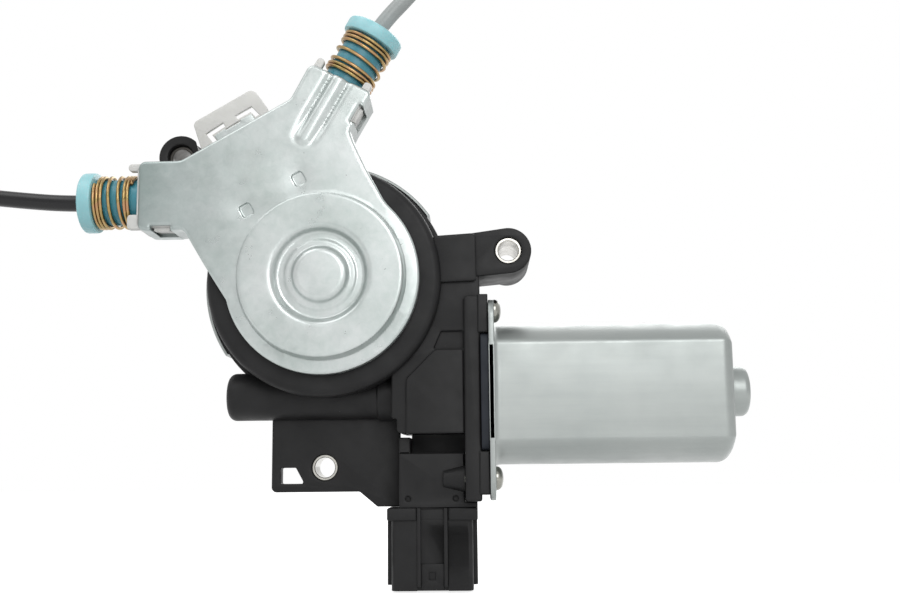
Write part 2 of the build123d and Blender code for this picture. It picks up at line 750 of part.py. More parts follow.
card_x, card_thick, brush_width = 42.2, 1.6, 3.6
brush_start, brush_end, holder_z, holder_length = 5.3, pocket_r - 3.2, pocket_r - 2.8, 5.4
with BuildPart() as brush_card:
    with BuildSketch(across_motor(card_x)):
        Circle(pocket_r - side_gap)
        Circle(commutator_r + 1.2, mode=Mode.SUBTRACT)
    extrude(amount=card_thick)
    with BuildSketch(across_motor(card_x + card_thick)):
        for way in (1, -1):
            with Locations((0, way * holder_z)):
                Rectangle(brush_width + 2, holder_length)
                Rectangle(brush_width, holder_length + 2, mode=Mode.SUBTRACT)
        Circle(pocket_r - side_gap, mode=Mode.INTERSECT)
    extrude(amount=brush_width)
write(brush_card.part, "brush_card")

with BuildPart() as brushes:
    for way in (1, -1):
        with BuildSketch(across_motor(card_x + card_thick)):
            with Locations((0, way * (brush_start + brush_end) / 2)):
                Rectangle(brush_width - 0.2, brush_end - brush_start)
        extrude(amount=brush_width - 0.2)
write(brushes.part, "brushes")

brush_spring_r, brush_wire_r = 1.2, 0.25
with BuildPart() as brush_springs:
    for way in (1, -1):
        spring_foot = (
            drum_x + card_x + card_thick + brush_width / 2,
            -motor_h,
            drum_z + motor_z + way * (brush_end + brush_wire_r),
        )
        with BuildLine():
            coil = Helix(0.8, 2.4, brush_spring_r, center=spring_foot, direction=(0, 0, way))
        with BuildSketch(Plane(origin=coil @ 0, z_dir=coil % 0)):
            RegularPolygon(brush_wire_r, 6)
        sweep(path=coil, is_frenet=True)
write(brush_springs.part, "brush_springs")

# --- Connector module: lid over the motor end, screw boss side and plug shell ------------------------------

lid_top_h = block_h
module_left, module_right = 22.8, wall_left - 0.2
opening_left, opening_top, opening_low = 26.3, -47.9, -53.7
plate_h_low, plate_rear_h = body_front_h - 3.5, 2.0
latch_x, latch_z, latch_width, latch_height = 33.1, shell_bottom + 4.4, 2.2, 2.7
mould_hole_xs, mould_hole_z, mould_hole_r = (25.7, 40.4), wall_bottom + 0.6, 0.65
lid_left, lid_notch_z, lid_step_z = 25.4, -31.1, -22.2
lid_step_x = 34.2
with BuildPart() as connector_module:
    with BuildSketch(front(body_front_h)):
        with BuildLine():
            Polyline(
                (lid_left, opening_top),
                (lid_left, lid_notch_z),
                (lid_step_x, lid_step_z),
                (module_right, lid_step_z),
                (module_right, opening_top),
                (opening_left, opening_top),
                (opening_left, opening_low),
                (module_left, opening_low),
                (module_left, opening_top),
                close=True,
            )
        make_face()
    extrude(amount=lid_top_h - body_front_h)
    with BuildSketch(front(plate_rear_h)):
        with BuildLine():
            Polyline(
                (module_left, body_bottom - seam),
                (module_right, body_bottom - seam),
                (module_right, opening_low),
                (module_left, opening_low),
                close=True,
            )
        make_face()
    extrude(amount=body_front_h - plate_rear_h)
    with BuildSketch(front(plate_rear_h)):
        with BuildLine():
            Polyline(
                (module_left, opening_low),
                (module_right, opening_low),
                (module_right, wall_bottom - side_gap),
                (collar_right, wall_bottom - side_gap),
                (collar_right, collar_top),
                (module_left, collar_top),
                close=True,
            )
        make_face()
    extrude(amount=plate_h_low - plate_rear_h)
    with BuildSketch(front(10)):
        with Locations((opening_left, opening_low)):
            Rectangle(
                module_right - opening_left + 1,
                body_bottom - seam - opening_low - 0.1,
                align=(Align.MIN, Align.MIN),
            )
    extrude(amount=lid_top_h - 10, mode=Mode.SUBTRACT)
    # Collar and shell of the plug
    shell_x = (shell_left + shell_right) / 2
    collar_x = (collar_left + collar_right) / 2
    shell_mid_h = (shell_rear_h + shell_front_h) / 2
    shell_deep = shell_front_h - shell_rear_h
    with BuildSketch(from_below(collar_top)):
        with Locations((collar_x, shell_mid_h)):
            RectangleRounded(collar_right - collar_left, shell_deep + 1.8, 1.6)
    extrude(amount=collar_top - shell_top)
    with BuildSketch(from_below(shell_top)):
        with Locations((shell_x, shell_mid_h)):
            RectangleRounded(shell_right - shell_left, shell_deep, 1.6)
    extrude(amount=shell_top - shell_bottom)
    # Guide ribs on the two sides
    for x in (collar_left + 0.2, collar_right - 1.2):
        with BuildSketch(front(shell_rear_h + 3, x, shell_bottom + 1.4)):
            Rectangle(1.0, shell_top - shell_bottom - 1.4, align=(Align.MIN, Align.MIN))
        extrude(amount=8)
    for left, right in ((collar_left + 0.2, shell_left), (shell_right, collar_right - 0.2)):
        with BuildSketch(front(shell_rear_h + 6, left, shell_bottom + 1.4)):
            Rectangle(right - left, shell_top - shell_bottom - 1.4, align=(Align.MIN, Align.MIN))
        extrude(amount=1.6)
    # Middle channel with a step, and the latch window
    with BuildSketch(front(shell_front_h - 0.9, 28.3, shell_bottom)):
        Rectangle(8.7, collar_top - shell_bottom, align=(Align.MIN, Align.MIN))
    extrude(amount=3, mode=Mode.SUBTRACT)
    with BuildSketch(front(shell_front_h - 1.1, 28.3, shell_bottom)):
        Rectangle(8.7, 7.7, align=(Align.MIN, Align.MIN))
    extrude(amount=0.7)
    # Socket, open at the bottom
    socket_floor = shell_bottom + 17
    with BuildSketch(from_below(socket_floor)):
        with Locations((shell_x, shell_mid_h)):
            Rectangle(shell_right - shell_left - 2 * shell_wall, shell_deep - 2 * shell_wall)
    extrude(amount=socket_floor - shell_bottom + 1, mode=Mode.SUBTRACT)
    with BuildSketch(front(shell_front_h - shell_wall - 1)):
        with Locations((latch_x, latch_z)):
            Rectangle(latch_width, latch_height)
    extrude(amount=3, mode=Mode.SUBTRACT)
    # Tapered screw boss beside the lower flange screw
    with BuildSketch(front(screw_h, 0, screw_zs[1])):
        with BuildLine():
            Polyline(
                (36.3, 0), (36.3, 2.7), (module_right, 4.2), (module_right, 0), close=True
            )
        make_face()
    revolve(axis=Axis((drum_x, -screw_h, drum_z + screw_zs[1]), (1, 0, 0)))
    # Two moulding holes
    with BuildSketch(front(plate_h_low)):
        with Locations(*((x, mould_hole_z) for x in mould_hole_xs)):
            Circle(mould_hole_r)
    extrude(amount=-4, mode=Mode.SUBTRACT)
    # Slots of the blades
    for row_h in (9.6, 16.0):
        for column in (-1, 0, 1):
            blade_x = shell_x + column * 5.6
            with BuildSketch(front(row_h - blade_thick / 2, blade_x, socket_floor)):
                Rectangle(blade_width, 3, align=(Align.CENTER, Align.MIN))
            extrude(amount=blade_thick, mode=Mode.SUBTRACT)
write(connector_module.part, "connector_module")

with BuildPart() as connector_blades:
    for row_h in (9.6, 16.0):
        for column in (-1, 0, 1):
            blade_x = shell_x + column * 5.6
            with BuildSketch(front(row_h - blade_thick / 2, blade_x, blade_tip)):
                Rectangle(
                    blade_width, socket_floor + 3 - blade_tip, align=(Align.CENTER, Align.MIN)
                )
            extrude(amount=blade_thick)
write(connector_blades.part, "connector_blades")

# --- Drum housing: a cup round the drum, two arms that hold the plugs and a latch tab ---------------------

knob_reach, knob_inner = 2.8, 7.0
bore_r = plug_r + 0.25
bore_start = plug_inner - plug_travel - 1.5
channel_half = cable_lift + cable_r + turn_gap
tab_h, tab_thick, tab_reach = 21.5, 2.6, 12.3
web_left = cable_point("left", 44, arm_half)
web_upper = cable_point("upper", 46, arm_half)
edge_x, edge_z = web_upper[0] - web_left[0], web_upper[1] - web_left[1]
edge_length = hypot(edge_x, edge_z)
edge_along = (edge_x / edge_length, edge_z / edge_length)
edge_out = (-edge_along[1], edge_along[0])


def edge_point(s, out):
    """A point on the long edge between the two arms, s along it and out beyond it."""
    return (
        web_left[0] + edge_along[0] * s + edge_out[0] * out,
        web_left[1] + edge_along[1] * s + edge_out[1] * out,
    )


with BuildPart() as drum_housing:
    with BuildSketch(front(cup_h)):
        Circle(cup_r)
    extrude(amount=cup_top_h - cup_h)
    for side in sides:
        with BuildSketch(along_cable(side, cup_h)):
            with Locations(((arm_base + arm_start) / 2, 0)):
                Rectangle(arm_start - arm_base, 2 * arm_half)
        extrude(amount=cup_top_h - cup_h)
        with BuildSketch(along_cable(side, arm_rear_h)):
            with Locations(((arm_start + arm_length) / 2, 0)):
                Rectangle(arm_length - arm_start, 2 * arm_half)
        extrude(amount=cup_top_h - arm_rear_h)
        for way in (1, -1):
            with BuildSketch(along_cable(side, cup_top_h - 2.2)) as knob:
                with Locations((arm_length - 3, way * (knob_inner + arm_half) / 2)):
                    Rectangle(
                        knob_reach + 3, arm_half - knob_inner, align=(Align.MIN, Align.CENTER)
                    )
                fillet(knob.vertices(), 1.1)
            extrude(amount=2.2)
        # Hook that snaps into the window of the cover's flange
        with BuildSketch(across_cable(side, window_from + hook_gap)):
            with BuildLine():
                rear, front_h = window_low_h + hook_gap - cable_h, cup_top_h - 1.2 - cable_h
                Polyline(
                    (rear, arm_turns[side] * (arm_half - 1)),
                    (rear, arm_turns[side] * (arm_half + 0.1)),
                    (front_h - 1.2, arm_turns[side] * (cover_arm_half - 0.1)),
                    (front_h, arm_turns[side] * (cover_arm_half - 0.1)),
                    (front_h, arm_turns[side] * (arm_half - 1)),
                    close=True,
                )
            make_face()
        extrude(amount=window_to - window_from - 2 * hook_gap)
    # Web between the arms, and the tab beyond the cover's edge with its two slots
    with BuildSketch(front(cup_h)):
        with BuildLine():
            Polyline(
                (0, 0),
                cable_point("left", 30, 0),
                web_left,
                web_upper,
                cable_point("upper", 30, 0),
                close=True,
            )
        make_face()
    extrude(amount=2.4)
    with BuildSketch(front(tab_h)):
        with BuildLine():
            Polyline(
                edge_point(2.2, -6),
                edge_point(2.2, 7.6),
                edge_point(7.4, tab_reach),
                edge_point(28.0, tab_reach),
                edge_point(29.6, 5.0),
                edge_point(27.5, -6),
                close=True,
            )
        make_face()
        with BuildLine():
            Polyline(
                edge_point(6.6, 0.6),
                edge_point(6.6, 5.4),
                edge_point(11.4, 5.4),
                edge_point(11.4, 3.2),
                edge_point(8.8, 3.2),
                edge_point(8.8, 0.6),
                close=True,
            )
        make_face(mode=Mode.SUBTRACT)
        with BuildLine():
            Polyline(
                edge_point(23.6, 0.6),
                edge_point(23.6, 3.2),
                edge_point(19.6, 3.2),
                edge_point(19.6, 5.4),
                edge_point(25.8, 5.4),
                edge_point(25.8, 0.6),
                close=True,
            )
        make_face(mode=Mode.SUBTRACT)
        with BuildLine():
            Polyline(
                edge_point(11.0, 0.2),
                edge_point(11.0, 2.2),
                edge_point(20.0, 2.2),
                edge_point(20.0, 0.2),
                close=True,
            )
        make_face(mode=Mode.SUBTRACT)
    extrude(amount=tab_thick)
    # Cup's inside, plug bores with a notch to the front, and the cables' channels
    with BuildSketch(front(cup_h + cup_floor)):
        Circle(cup_r - cup_wall)
    extrude(amount=cup_top_h, mode=Mode.SUBTRACT)
    with BuildSketch(front(cup_h - 5)):
        Circle(shaft_r + bush_wall + side_gap)
    extrude(amount=10, mode=Mode.SUBTRACT)
    for side in sides:
        with BuildSketch(across_cable(side, bore_start)):
            Circle(bore_r)
        extrude(amount=arm_length, mode=Mode.SUBTRACT)
        with BuildSketch(along_cable(side, cable_h)):
            with Locations((arm_length - 7, 0)):
                Rectangle(20, 2 * 5.5, align=(Align.MIN, Align.CENTER))
        extrude(amount=12, mode=Mode.SUBTRACT)
        with BuildSketch(along_cable(side, cable_h - channel_half)):
            Rectangle(bore_start + 1, 3.2, align=(Align.MIN, Align.CENTER))
        extrude(amount=2 * channel_half, mode=Mode.SUBTRACT)
write(drum_housing.part, "drum_housing")

# --- Drum cover: stamped sheet with a down-turned rim, a dished middle and an embossed arm ---------------

cover_arm_end = arm_length - 0.4
rib_start, rib_out, rib_half, rib_rise = 38.5, 0.9, 2.0, 0.8
groove_inset, groove_depth = 1.0, 0.6
dimples, dimple_width, dimple_depth, dimple_turn = ((-23.3, 21.0), (-7.2, 30.7)), 4.0, 0.7, 28
tongue_from, tongue_to, tongue_reach = 9.2, 23.2, 3.0
cover_opening_r = 24.9
# Radius and rise of the raised disc, the round trough and the low dome, on the front and on the rear
middle_front = [(0, 4.4), (8.0, 4.0), (8.8, 2.4), (10.8, 2.2), (11.4, 1.8), (13.2, 1.8), (14.8, 4.0)]
middle_front += [(25.0, 4.2), (25.8, 0.4), (25.8, -1.2)]
middle_rear = [(24.4, -1.2), (24.0, 3.0), (15.4, 2.8), (13.8, 0.6), (10.9, 0.6), (10.3, 1.0), (8.2, 1.2)]
middle_rear += [(7.4, 2.8), (0, 3.2)]
# The outline's corners between the arms and at their roots lie between these two distances from the axis
rounded_from, rounded_to, outline_fillet = 35, 66, 2.5


def cover_outline(inset):
    """The cover's outline, drawn inset inside its outer edge."""
    half = cover_arm_half - inset
    r = cover_r - inset
    end = cover_arm_end
    return [
        cable_point("left", end, -half),
        cable_point("left", end, half),
        cable_point("left", 44.5, half),
        cable_point("upper", 47.0, half),
        cable_point("upper", end, half),
        cable_point("upper", end, -half),
        cable_point("upper", 42.0, -half),
        cable_point("upper", 33.0, -half - 5.6),
        around(r, 33),
        (0, 0),
        around(r, 207),
        cable_point("left", 36.0, -half - 6.4),
        cable_point("left", 42.0, -half),
    ]


with BuildPart() as drum_cover:
    with BuildSketch(front(cover_h - cover_rim)) as cover_shape:
        Circle(cover_r)
        with BuildLine():
            Polyline(*cover_outline(0), close=True)
        make_face()
        corners = [v for v in cover_shape.vertices() if rounded_from < hypot(v.X, v.Y) < rounded_to]
        fillet(corners, outline_fillet)
    extrude(amount=cover_rim)
    fillet(drum_cover.faces().sort_by(Axis.Y)[0].edges(), 1.0)
    with BuildSketch(front(cover_h - cover_rim)):
        Circle(cover_r - cover_sheet)
        with BuildLine():
            Polyline(*cover_outline(cover_sheet), close=True)
        make_face()
    extrude(amount=cover_rim - cover_sheet, mode=Mode.SUBTRACT)
    for side in sides:
        with BuildSketch(along_cable(side, cover_h - cover_rim)):
            with Locations((cover_arm_end - 2, 0)):
                Rectangle(6, 2 * (arm_half + side_gap), align=(Align.MIN, Align.CENTER))
        extrude(amount=cover_rim - cover_sheet, mode=Mode.SUBTRACT)
    for side in sides:
        inward = -arm_turns[side]
        with BuildSketch(along_cable(side, flange_low_h)):
            with Locations(((flange_from + cover_arm_end) / 2, inward * (cover_arm_half - cover_sheet / 2))):
                Rectangle(cover_arm_end - flange_from, cover_sheet)
        extrude(amount=cover_h - cover_sheet - flange_low_h)
        with BuildSketch(along_cable(side, window_low_h)):
            with Locations(
                ((window_from + window_to) / 2, inward * (cover_arm_half - window_reach / 2 + 0.5))
            ):
                Rectangle(window_to - window_from, window_reach + 1)
        extrude(amount=cover_h, mode=Mode.SUBTRACT)
    # Rib down the upper arm, between two grooves that meet round its end
    for half, low_h, top_h, mode in (
        (rib_half + 2 * groove_inset, cover_h - groove_depth, cover_h + 5, Mode.SUBTRACT),
        (rib_half + groove_inset / 2, cover_h - groove_depth, cover_h, Mode.ADD),
        (rib_half, cover_h - groove_depth, cover_h + rib_rise, Mode.ADD),
    ):
        with BuildSketch(along_cable("upper", low_h)):
            with Locations((rib_start, rib_out)):
                Circle(half)
            with Locations((rib_start, rib_out)):
                Rectangle(cover_arm_end - rib_start, 2 * half, align=(Align.MIN, Align.CENTER))
        extrude(amount=top_h - low_h, mode=mode)
    # Two square dimples that clinch the sheet
    with BuildSketch(front(cover_h - dimple_depth)):
        with Locations(*dimples):
            Rectangle(dimple_width, dimple_width * 1.1, rotation=dimple_turn)
    extrude(amount=5, mode=Mode.SUBTRACT)
    # Tongue that holds the tab of the drum housing, folded out from the long edge
    with BuildSketch(front(tab_h + tab_thick + turn_gap)):
        with BuildLine():
            Polyline(
                edge_point(tongue_from, -1.2),
                edge_point(tongue_from, tongue_reach),
                edge_point(tongue_to, tongue_reach),
                edge_point(tongue_to, -1.2),
                close=True,
            )
        make_face()
    extrude(amount=cover_sheet)
    with BuildSketch(front(tab_h + tab_thick + turn_gap)):
        with BuildLine():
            Polyline(
                edge_point(tongue_from, 0.1),
                edge_point(tongue_from, cover_sheet + 0.1),
                edge_point(tongue_to, cover_sheet + 0.1),
                edge_point(tongue_to, 0.1),
                close=True,
            )
        make_face()
    extrude(amount=cover_h - cover_sheet - tab_h - tab_thick - turn_gap)
    # Middle: a raised disc, a round trough and a low dome, all one thickness of sheet
    with BuildSketch(front(cover_h - cover_rim)):
        Circle(cover_opening_r)
    extrude(amount=cover_rim, mode=Mode.SUBTRACT)
    with BuildSketch(Plane(origin=(drum_x, 0, drum_z), x_dir=(1, 0, 0), z_dir=(0, 0, -1))):
        with BuildLine():
            Polyline(
                *((r, cover_h + rise) for r, rise in middle_front),
                *((r, cover_h + rise) for r, rise in middle_rear),
                close=True,
            )
        make_face()
    revolve(axis=drum_axis)
write(drum_cover.part, "drum_cover")

# --- Cable drum with its helical groove, the wound cable and its two anchors -----------------------------

drum_cap_r, drum_cap_h = 22.6, cover_h
groove_start_h = drum_rear_h + 1.4
groove_origin = (drum_x, -groove_start_h, drum_z)
with BuildPart() as cable_drum:
    with BuildSketch(front(drum_rear_h)):
        Circle(drum_r)
    extrude(amount=drum_front_h - drum_rear_h)
    with BuildSketch(front(drum_front_h)):
        Circle(drum_cap_r)
    extrude(amount=drum_cap_h - drum_front_h)
    # Moulded pockets from the front leave a hub, a rim and six spokes.
    with BuildSketch(front(drum_rear_h + 2)):
        Circle(20)
        Circle(10, mode=Mode.SUBTRACT)
        with PolarLocations(15, 6):
            Rectangle(12, 2.2, mode=Mode.SUBTRACT)
    extrude(amount=20, mode=Mode.SUBTRACT)
    with BuildSketch(front(drum_rear_h - 1)):
        Circle(shaft_r)
        Rectangle(2 * shaft_r, 2 * drive_flat, mode=Mode.INTERSECT)
    extrude(amount=20, mode=Mode.SUBTRACT)
    with BuildLine():
        groove_line = Helix(
            groove_pitch,
            groove_pitch * groove_turns,
            groove_line_r,
            center=groove_origin,
            direction=(0, -1, 0),
        )
    with BuildSketch(Plane(origin=groove_line @ 0, z_dir=groove_line % 0)):
        RegularPolygon(groove_r, 8)
    sweep(path=groove_line, is_frenet=True, mode=Mode.SUBTRACT)
write(cable_drum.part, "cable_drum")

with BuildPart() as drum_cable:
    with BuildSketch(Plane(origin=groove_line @ 0, z_dir=groove_line % 0)):
        RegularPolygon(cable_r, 8)
    sweep(path=groove_line, is_frenet=True)
write(drum_cable.part, "drum_cable")

# --- Cable plugs, springs, inner cables, conduits and their end fittings -----------------------------------

spring_start = arm_length + 0.7
spring_length = plug_seat - spring_start - 2 * spring_wire_r
conduit_routes = {
    "left": [(0, 0), (9.0, 0), (24.0, 1.4), (38.0, 3.1), (49.0, 3.9)],
    "upper": [(0, 0), (7.4, 0), (22.0, -3.65), (35.0, -5.75), (44.0, -7.8)],
}


def cord_radii(points):
    """The largest arc that the two runs beside each corner allow."""
    radii = []
    for before, corner, after in zip(points, points[1:], points[2:]):
        run_in, run_out = corner - before, after - corner
        turn = run_in.get_angle(run_out)
        radii.append(0.45 * min(run_in.length, run_out.length) / tan(radians(turn) / 2))
    return radii


for side in sides:
    along_x, along_z = cable_direction(side)
    line_axis = Axis(
        (drum_x + cable_point(side, 0)[0], -cable_h, drum_z + cable_point(side, 0)[1]),
        (along_x, 0, along_z),
    )
    with BuildPart() as plug:
        with BuildSketch(along_cable(side)):
            with BuildLine():
                Polyline(
                    (plug_inner, cable_r + 0.25),
                    (plug_inner, plug_r - 0.8),
                    (plug_inner + 0.8, plug_r),
                    (plug_seat, plug_r),
                    (plug_seat, plug_flange_r),
                    (plug_seat + 2.6, plug_flange_r),
                    (plug_outer - 0.2, plug_flange_r - 2.0),
                    (plug_outer, conduit_r + 1.2),
                    (plug_outer, conduit_r),
                    (conduit_socket, conduit_r),
                    (conduit_socket, cable_r + 0.25),
                    close=True,
                )
            make_face()
        revolve(axis=line_axis)
    write(plug.part, f"cable_plug_{side}")

    spring_x, spring_z = cable_point(side, spring_start + spring_wire_r)
    with BuildPart() as spring:
        with BuildLine():
            spring_line = Helix(
                spring_length / spring_turns,
                spring_length,
                spring_r,
                center=(drum_x + spring_x, -cable_h, drum_z + spring_z),
                direction=(along_x, 0, along_z),
            )
        with BuildSketch(Plane(origin=spring_line @ 0, z_dir=spring_line % 0)):
            RegularPolygon(spring_wire_r, 8)
        sweep(path=spring_line, is_frenet=True)
    write(spring.part, f"plug_spring_{side}")

    lift = -arm_turns[side] * cable_lift
    cable_places = [
        Vector(drum_x + x, -cable_h - up, drum_z + z)
        for (x, z), up in (
            (cable_point(side, 0), lift),
            (cable_point(side, plug_inner - plug_travel - 1), 0),
            (cable_point(side, conduit_socket), 0),
        )
    ]
    with BuildPart() as inner_cable:
        with BuildLine() as cable_path:
            straight_runs = FilletPolyline(*cable_places, radius=cord_radii(cable_places))
        with BuildSketch(Plane(origin=straight_runs @ 0, z_dir=straight_runs % 0)):
            Circle(cable_r)
        sweep(path=cable_path.wires()[0])
    write(inner_cable.part, f"inner_cable_{side}")

    route = [
        Vector(drum_x + x, -cable_h, drum_z + z)
        for x, z in (cable_point(side, conduit_socket + s, out) for s, out in conduit_routes[side])
    ]
    radii = cord_radii(route)
    with BuildPart() as conduit:
        with BuildLine() as conduit_path:
            FilletPolyline(*route, radius=radii)
        with BuildSketch(across_cable(side, conduit_socket)):
            Circle(conduit_r)
        sweep(path=conduit_path.wires()[0])
    tube_length = conduit_path.wires()[0].length
    print(f"conduit {side}: radii", [round(r, 1) for r in radii], "length", round(tube_length, 2))
    print(f"  volume {conduit.part.volume:.1f} against {pi * conduit_r**2 * tube_length:.1f}")
    write(conduit.part, f"conduit_{side}")

    end = route[-1]
    end_direction = (route[-1] - route[-2]).normalized()
    end_plane = Plane(origin=end, x_dir=(0, -1, 0), z_dir=end_direction)
    with BuildPart() as fitting:
        with BuildSketch(end_plane.offset(-6.0)):
            Circle(conduit_r + 1.2)
            Circle(conduit_r, mode=Mode.SUBTRACT)
        extrude(amount=6.0)
        with BuildSketch(end_plane):
            Circle(conduit_r + 1.2)
            Circle(cable_r, mode=Mode.SUBTRACT)
        extrude(amount=fitting_length - 6.0)
        with BuildSketch(end_plane.offset(1.5)):
            Circle(conduit_r + 2.6)
            Circle(conduit_r, mode=Mode.SUBTRACT)
        extrude(amount=1.6)
    write(fitting.part, f"end_fitting_{side}")

    with BuildPart() as cable_end:
        with BuildSketch(end_plane):
            Circle(cable_r)
        extrude(amount=fitting_length - 6.0 + cable_stub)
        with BuildSketch(end_plane.offset(fitting_length - 6.0 + cable_stub)):
            Circle(nipple_r)
        extrude(amount=nipple_length)
    write(cable_end.part, f"cable_end_{side}")

print(len(written), "nodes:", ", ".join(written))
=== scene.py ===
import math

import bmesh
import bpy
import numpy as np
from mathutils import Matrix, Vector
from mathutils.geometry import delaunay_2d_cdt, tessellate_polygon

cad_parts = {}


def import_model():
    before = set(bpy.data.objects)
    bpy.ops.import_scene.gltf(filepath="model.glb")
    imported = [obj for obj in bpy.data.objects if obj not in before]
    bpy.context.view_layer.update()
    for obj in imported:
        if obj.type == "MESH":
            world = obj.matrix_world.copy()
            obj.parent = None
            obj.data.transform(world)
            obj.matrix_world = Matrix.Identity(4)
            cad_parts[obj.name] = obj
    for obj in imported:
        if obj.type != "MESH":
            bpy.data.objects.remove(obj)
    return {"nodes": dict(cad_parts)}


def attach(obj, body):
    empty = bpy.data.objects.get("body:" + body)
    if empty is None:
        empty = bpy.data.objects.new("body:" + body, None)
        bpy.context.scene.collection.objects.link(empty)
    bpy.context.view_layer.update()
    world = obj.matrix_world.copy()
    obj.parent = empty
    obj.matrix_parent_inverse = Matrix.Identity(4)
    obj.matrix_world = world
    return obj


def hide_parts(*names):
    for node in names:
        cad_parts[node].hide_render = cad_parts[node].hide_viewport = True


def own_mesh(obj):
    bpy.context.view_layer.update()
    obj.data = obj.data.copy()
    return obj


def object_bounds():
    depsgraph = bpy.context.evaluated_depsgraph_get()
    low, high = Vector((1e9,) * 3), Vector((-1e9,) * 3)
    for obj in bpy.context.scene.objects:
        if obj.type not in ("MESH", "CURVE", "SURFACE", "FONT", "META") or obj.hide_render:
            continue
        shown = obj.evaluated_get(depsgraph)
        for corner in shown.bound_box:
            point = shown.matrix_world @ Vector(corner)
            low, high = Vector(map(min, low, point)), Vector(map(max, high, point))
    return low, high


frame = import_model()
cad_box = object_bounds()

# Shapes are given in millimetres: x to the right and z up from the drum's axis, h towards the front
# from the plane that the mounting sleeves stand on. Along an arm, s runs outwards on the cable's line
# and out runs across it, away from the drum.
MM = 0.001
DRUM_X, DRUM_Z = 1.2, 57.8  # the drum's axis, from the part's origin
MOTOR_H, MOTOR_Z = 12.0, -35.4  # the armature's axis
CABLE_H, CABLE_R = 23.0, 26.0  # the cables' height, and their lines' distance from the drum's axis
SIDES = ("left", "upper")
ARM_ANGLE = {"left": 180.0, "upper": 60.5}
ARM_TURN = {"left": -1, "upper": 1}
ROOT = "drive_unit"


def world(x, z, h):
    return Vector(((x + DRUM_X) * MM, -h * MM, (z + DRUM_Z) * MM))


def polar(r, angle):
    return r * math.cos(math.radians(angle)), r * math.sin(math.radians(angle))


def cable_point(side, s, out=0.0):
    """The point s along a cable's straight line, out beyond it on the side away from the drum."""
    c, n = polar(1, ARM_ANGLE[side])
    r = ARM_TURN[side] * (CABLE_R + out)
    return c * s - n * r, n * s + c * r


def cable_frame(side):
    """Origin, along, towards the front, and out from the drum, for shapes about a cable's line."""
    c, n = polar(1, ARM_ANGLE[side])
    along = Vector((c, 0, n))
    out = Vector((-n, 0, c)) * ARM_TURN[side]
    return world(*cable_point(side, 0), CABLE_H), along, Vector((0, -1, 0)), out


DRUM_FRAME = (world(0, 0, 0), Vector((0, -1, 0)), Vector((1, 0, 0)), Vector((0, 0, 1)))
MOTOR_FRAME = (world(0, MOTOR_Z, MOTOR_H), Vector((1, 0, 0)), Vector((0, -1, 0)), Vector((0, 0, 1)))


# --- Materials ---


def made(tree, kind, output, inputs, **values):
    """The output of a new node. Each of its inputs is given a value or another node's output."""
    n = tree.nodes.new(kind)
    for key, value in values.items():
        setattr(n, key, value)
    for key, value in inputs.items():
        if isinstance(value, (int, float, tuple)):
            n.inputs[key].default_value = value
        else:
            tree.links.new(value, n.inputs[key])
    return n.outputs[output]


class Shader:
    """A node material on the object's own coordinates, in metres."""

    def __init__(self, name, colour, rough=0.5, metal=0.0, **sockets):
        self.material = bpy.data.materials.new(name)
        self.material.use_nodes = True
        self.tree = self.material.node_tree
        self.surface = self.tree.nodes["Principled BSDF"]
        self.where = self.tree.nodes.new("ShaderNodeTexCoord").outputs["Object"]
        self.surface.inputs["Base Color"].default_value = (*colour, 1)
        self.surface.inputs["Roughness"].default_value = rough
        self.surface.inputs["Metallic"].default_value = metal
        for key, value in sockets.items():
            self.surface.inputs[key.replace("_", " ")].default_value = value
        self.height = None

    def made(self, kind, output, inputs, **values):
        return made(self.tree, kind, output, inputs, **values)

    def scaled(self, scale):
        """The object's coordinates, stretched by a factor along each axis."""
        return self.made("ShaderNodeMapping", "Vector", {"Scale": scale, "Vector": self.where})

    def noise(self, scale, detail=4.0, rough=0.55, stretch=None, distort=0.0):
        inputs = {"Scale": scale, "Detail": detail, "Roughness": rough, "Distortion": distort}
        inputs["Vector"] = self.scaled(stretch) if stretch else self.where
        return self.made("ShaderNodeTexNoise", "Fac", inputs)

    def cells(self, scale):
        """The distance to the nearest of many scattered points."""
        return self.made("ShaderNodeTexVoronoi", "Distance", {"Scale": scale, "Vector": self.where})

    def across(self, start, end):
        """From 0 to 1 over a stretch of the object's x, in metres."""
        x = self.made("ShaderNodeSeparateXYZ", "X", {0: self.where})
        return self.made("ShaderNodeMapRange", "Result", {"From Min": start, "From Max": end, "Value": x})

    def ramp(self, value, stops):
        n = self.tree.nodes.new("ShaderNodeValToRGB")
        e = n.color_ramp.elements
        while len(e) < len(stops):
            e.new(0.5)
        for item, (at, colour) in zip(e, stops):
            item.position = at
            item.color = (*colour, 1)
        self.tree.links.new(value, n.inputs["Fac"])
        return n.outputs["Color"]

    def between(self, value, low, high, start=0.3, end=0.7):
        """A ramp from low to high, each of them a colour or a single level."""
        pair = [c if isinstance(c, tuple) else (c,) * 3 for c in (low, high)]
        return self.ramp(value, list(zip((start, end), pair)))

    def mix(self, fac, one, two, blend="MIX"):
        inputs = {0: fac, 6: one, 7: two}
        return self.made("ShaderNodeMix", 2, inputs, data_type="RGBA", blend_type=blend)

    def math(self, operation, one, two):
        return self.made("ShaderNodeMath", 0, {0: one, 1: two}, operation=operation)

    def set(self, name, value):
        self.tree.links.new(value, self.surface.inputs[name])

    def bump(self, value, distance, strength):
        """Adds relief to what is there already."""
        inputs = {"Distance": distance, "Strength": strength, "Height": value}
        if self.height is not None:
            inputs["Normal"] = self.height
        self.height = self.made("ShaderNodeBump", "Normal", inputs)
        self.set("Normal", self.height)


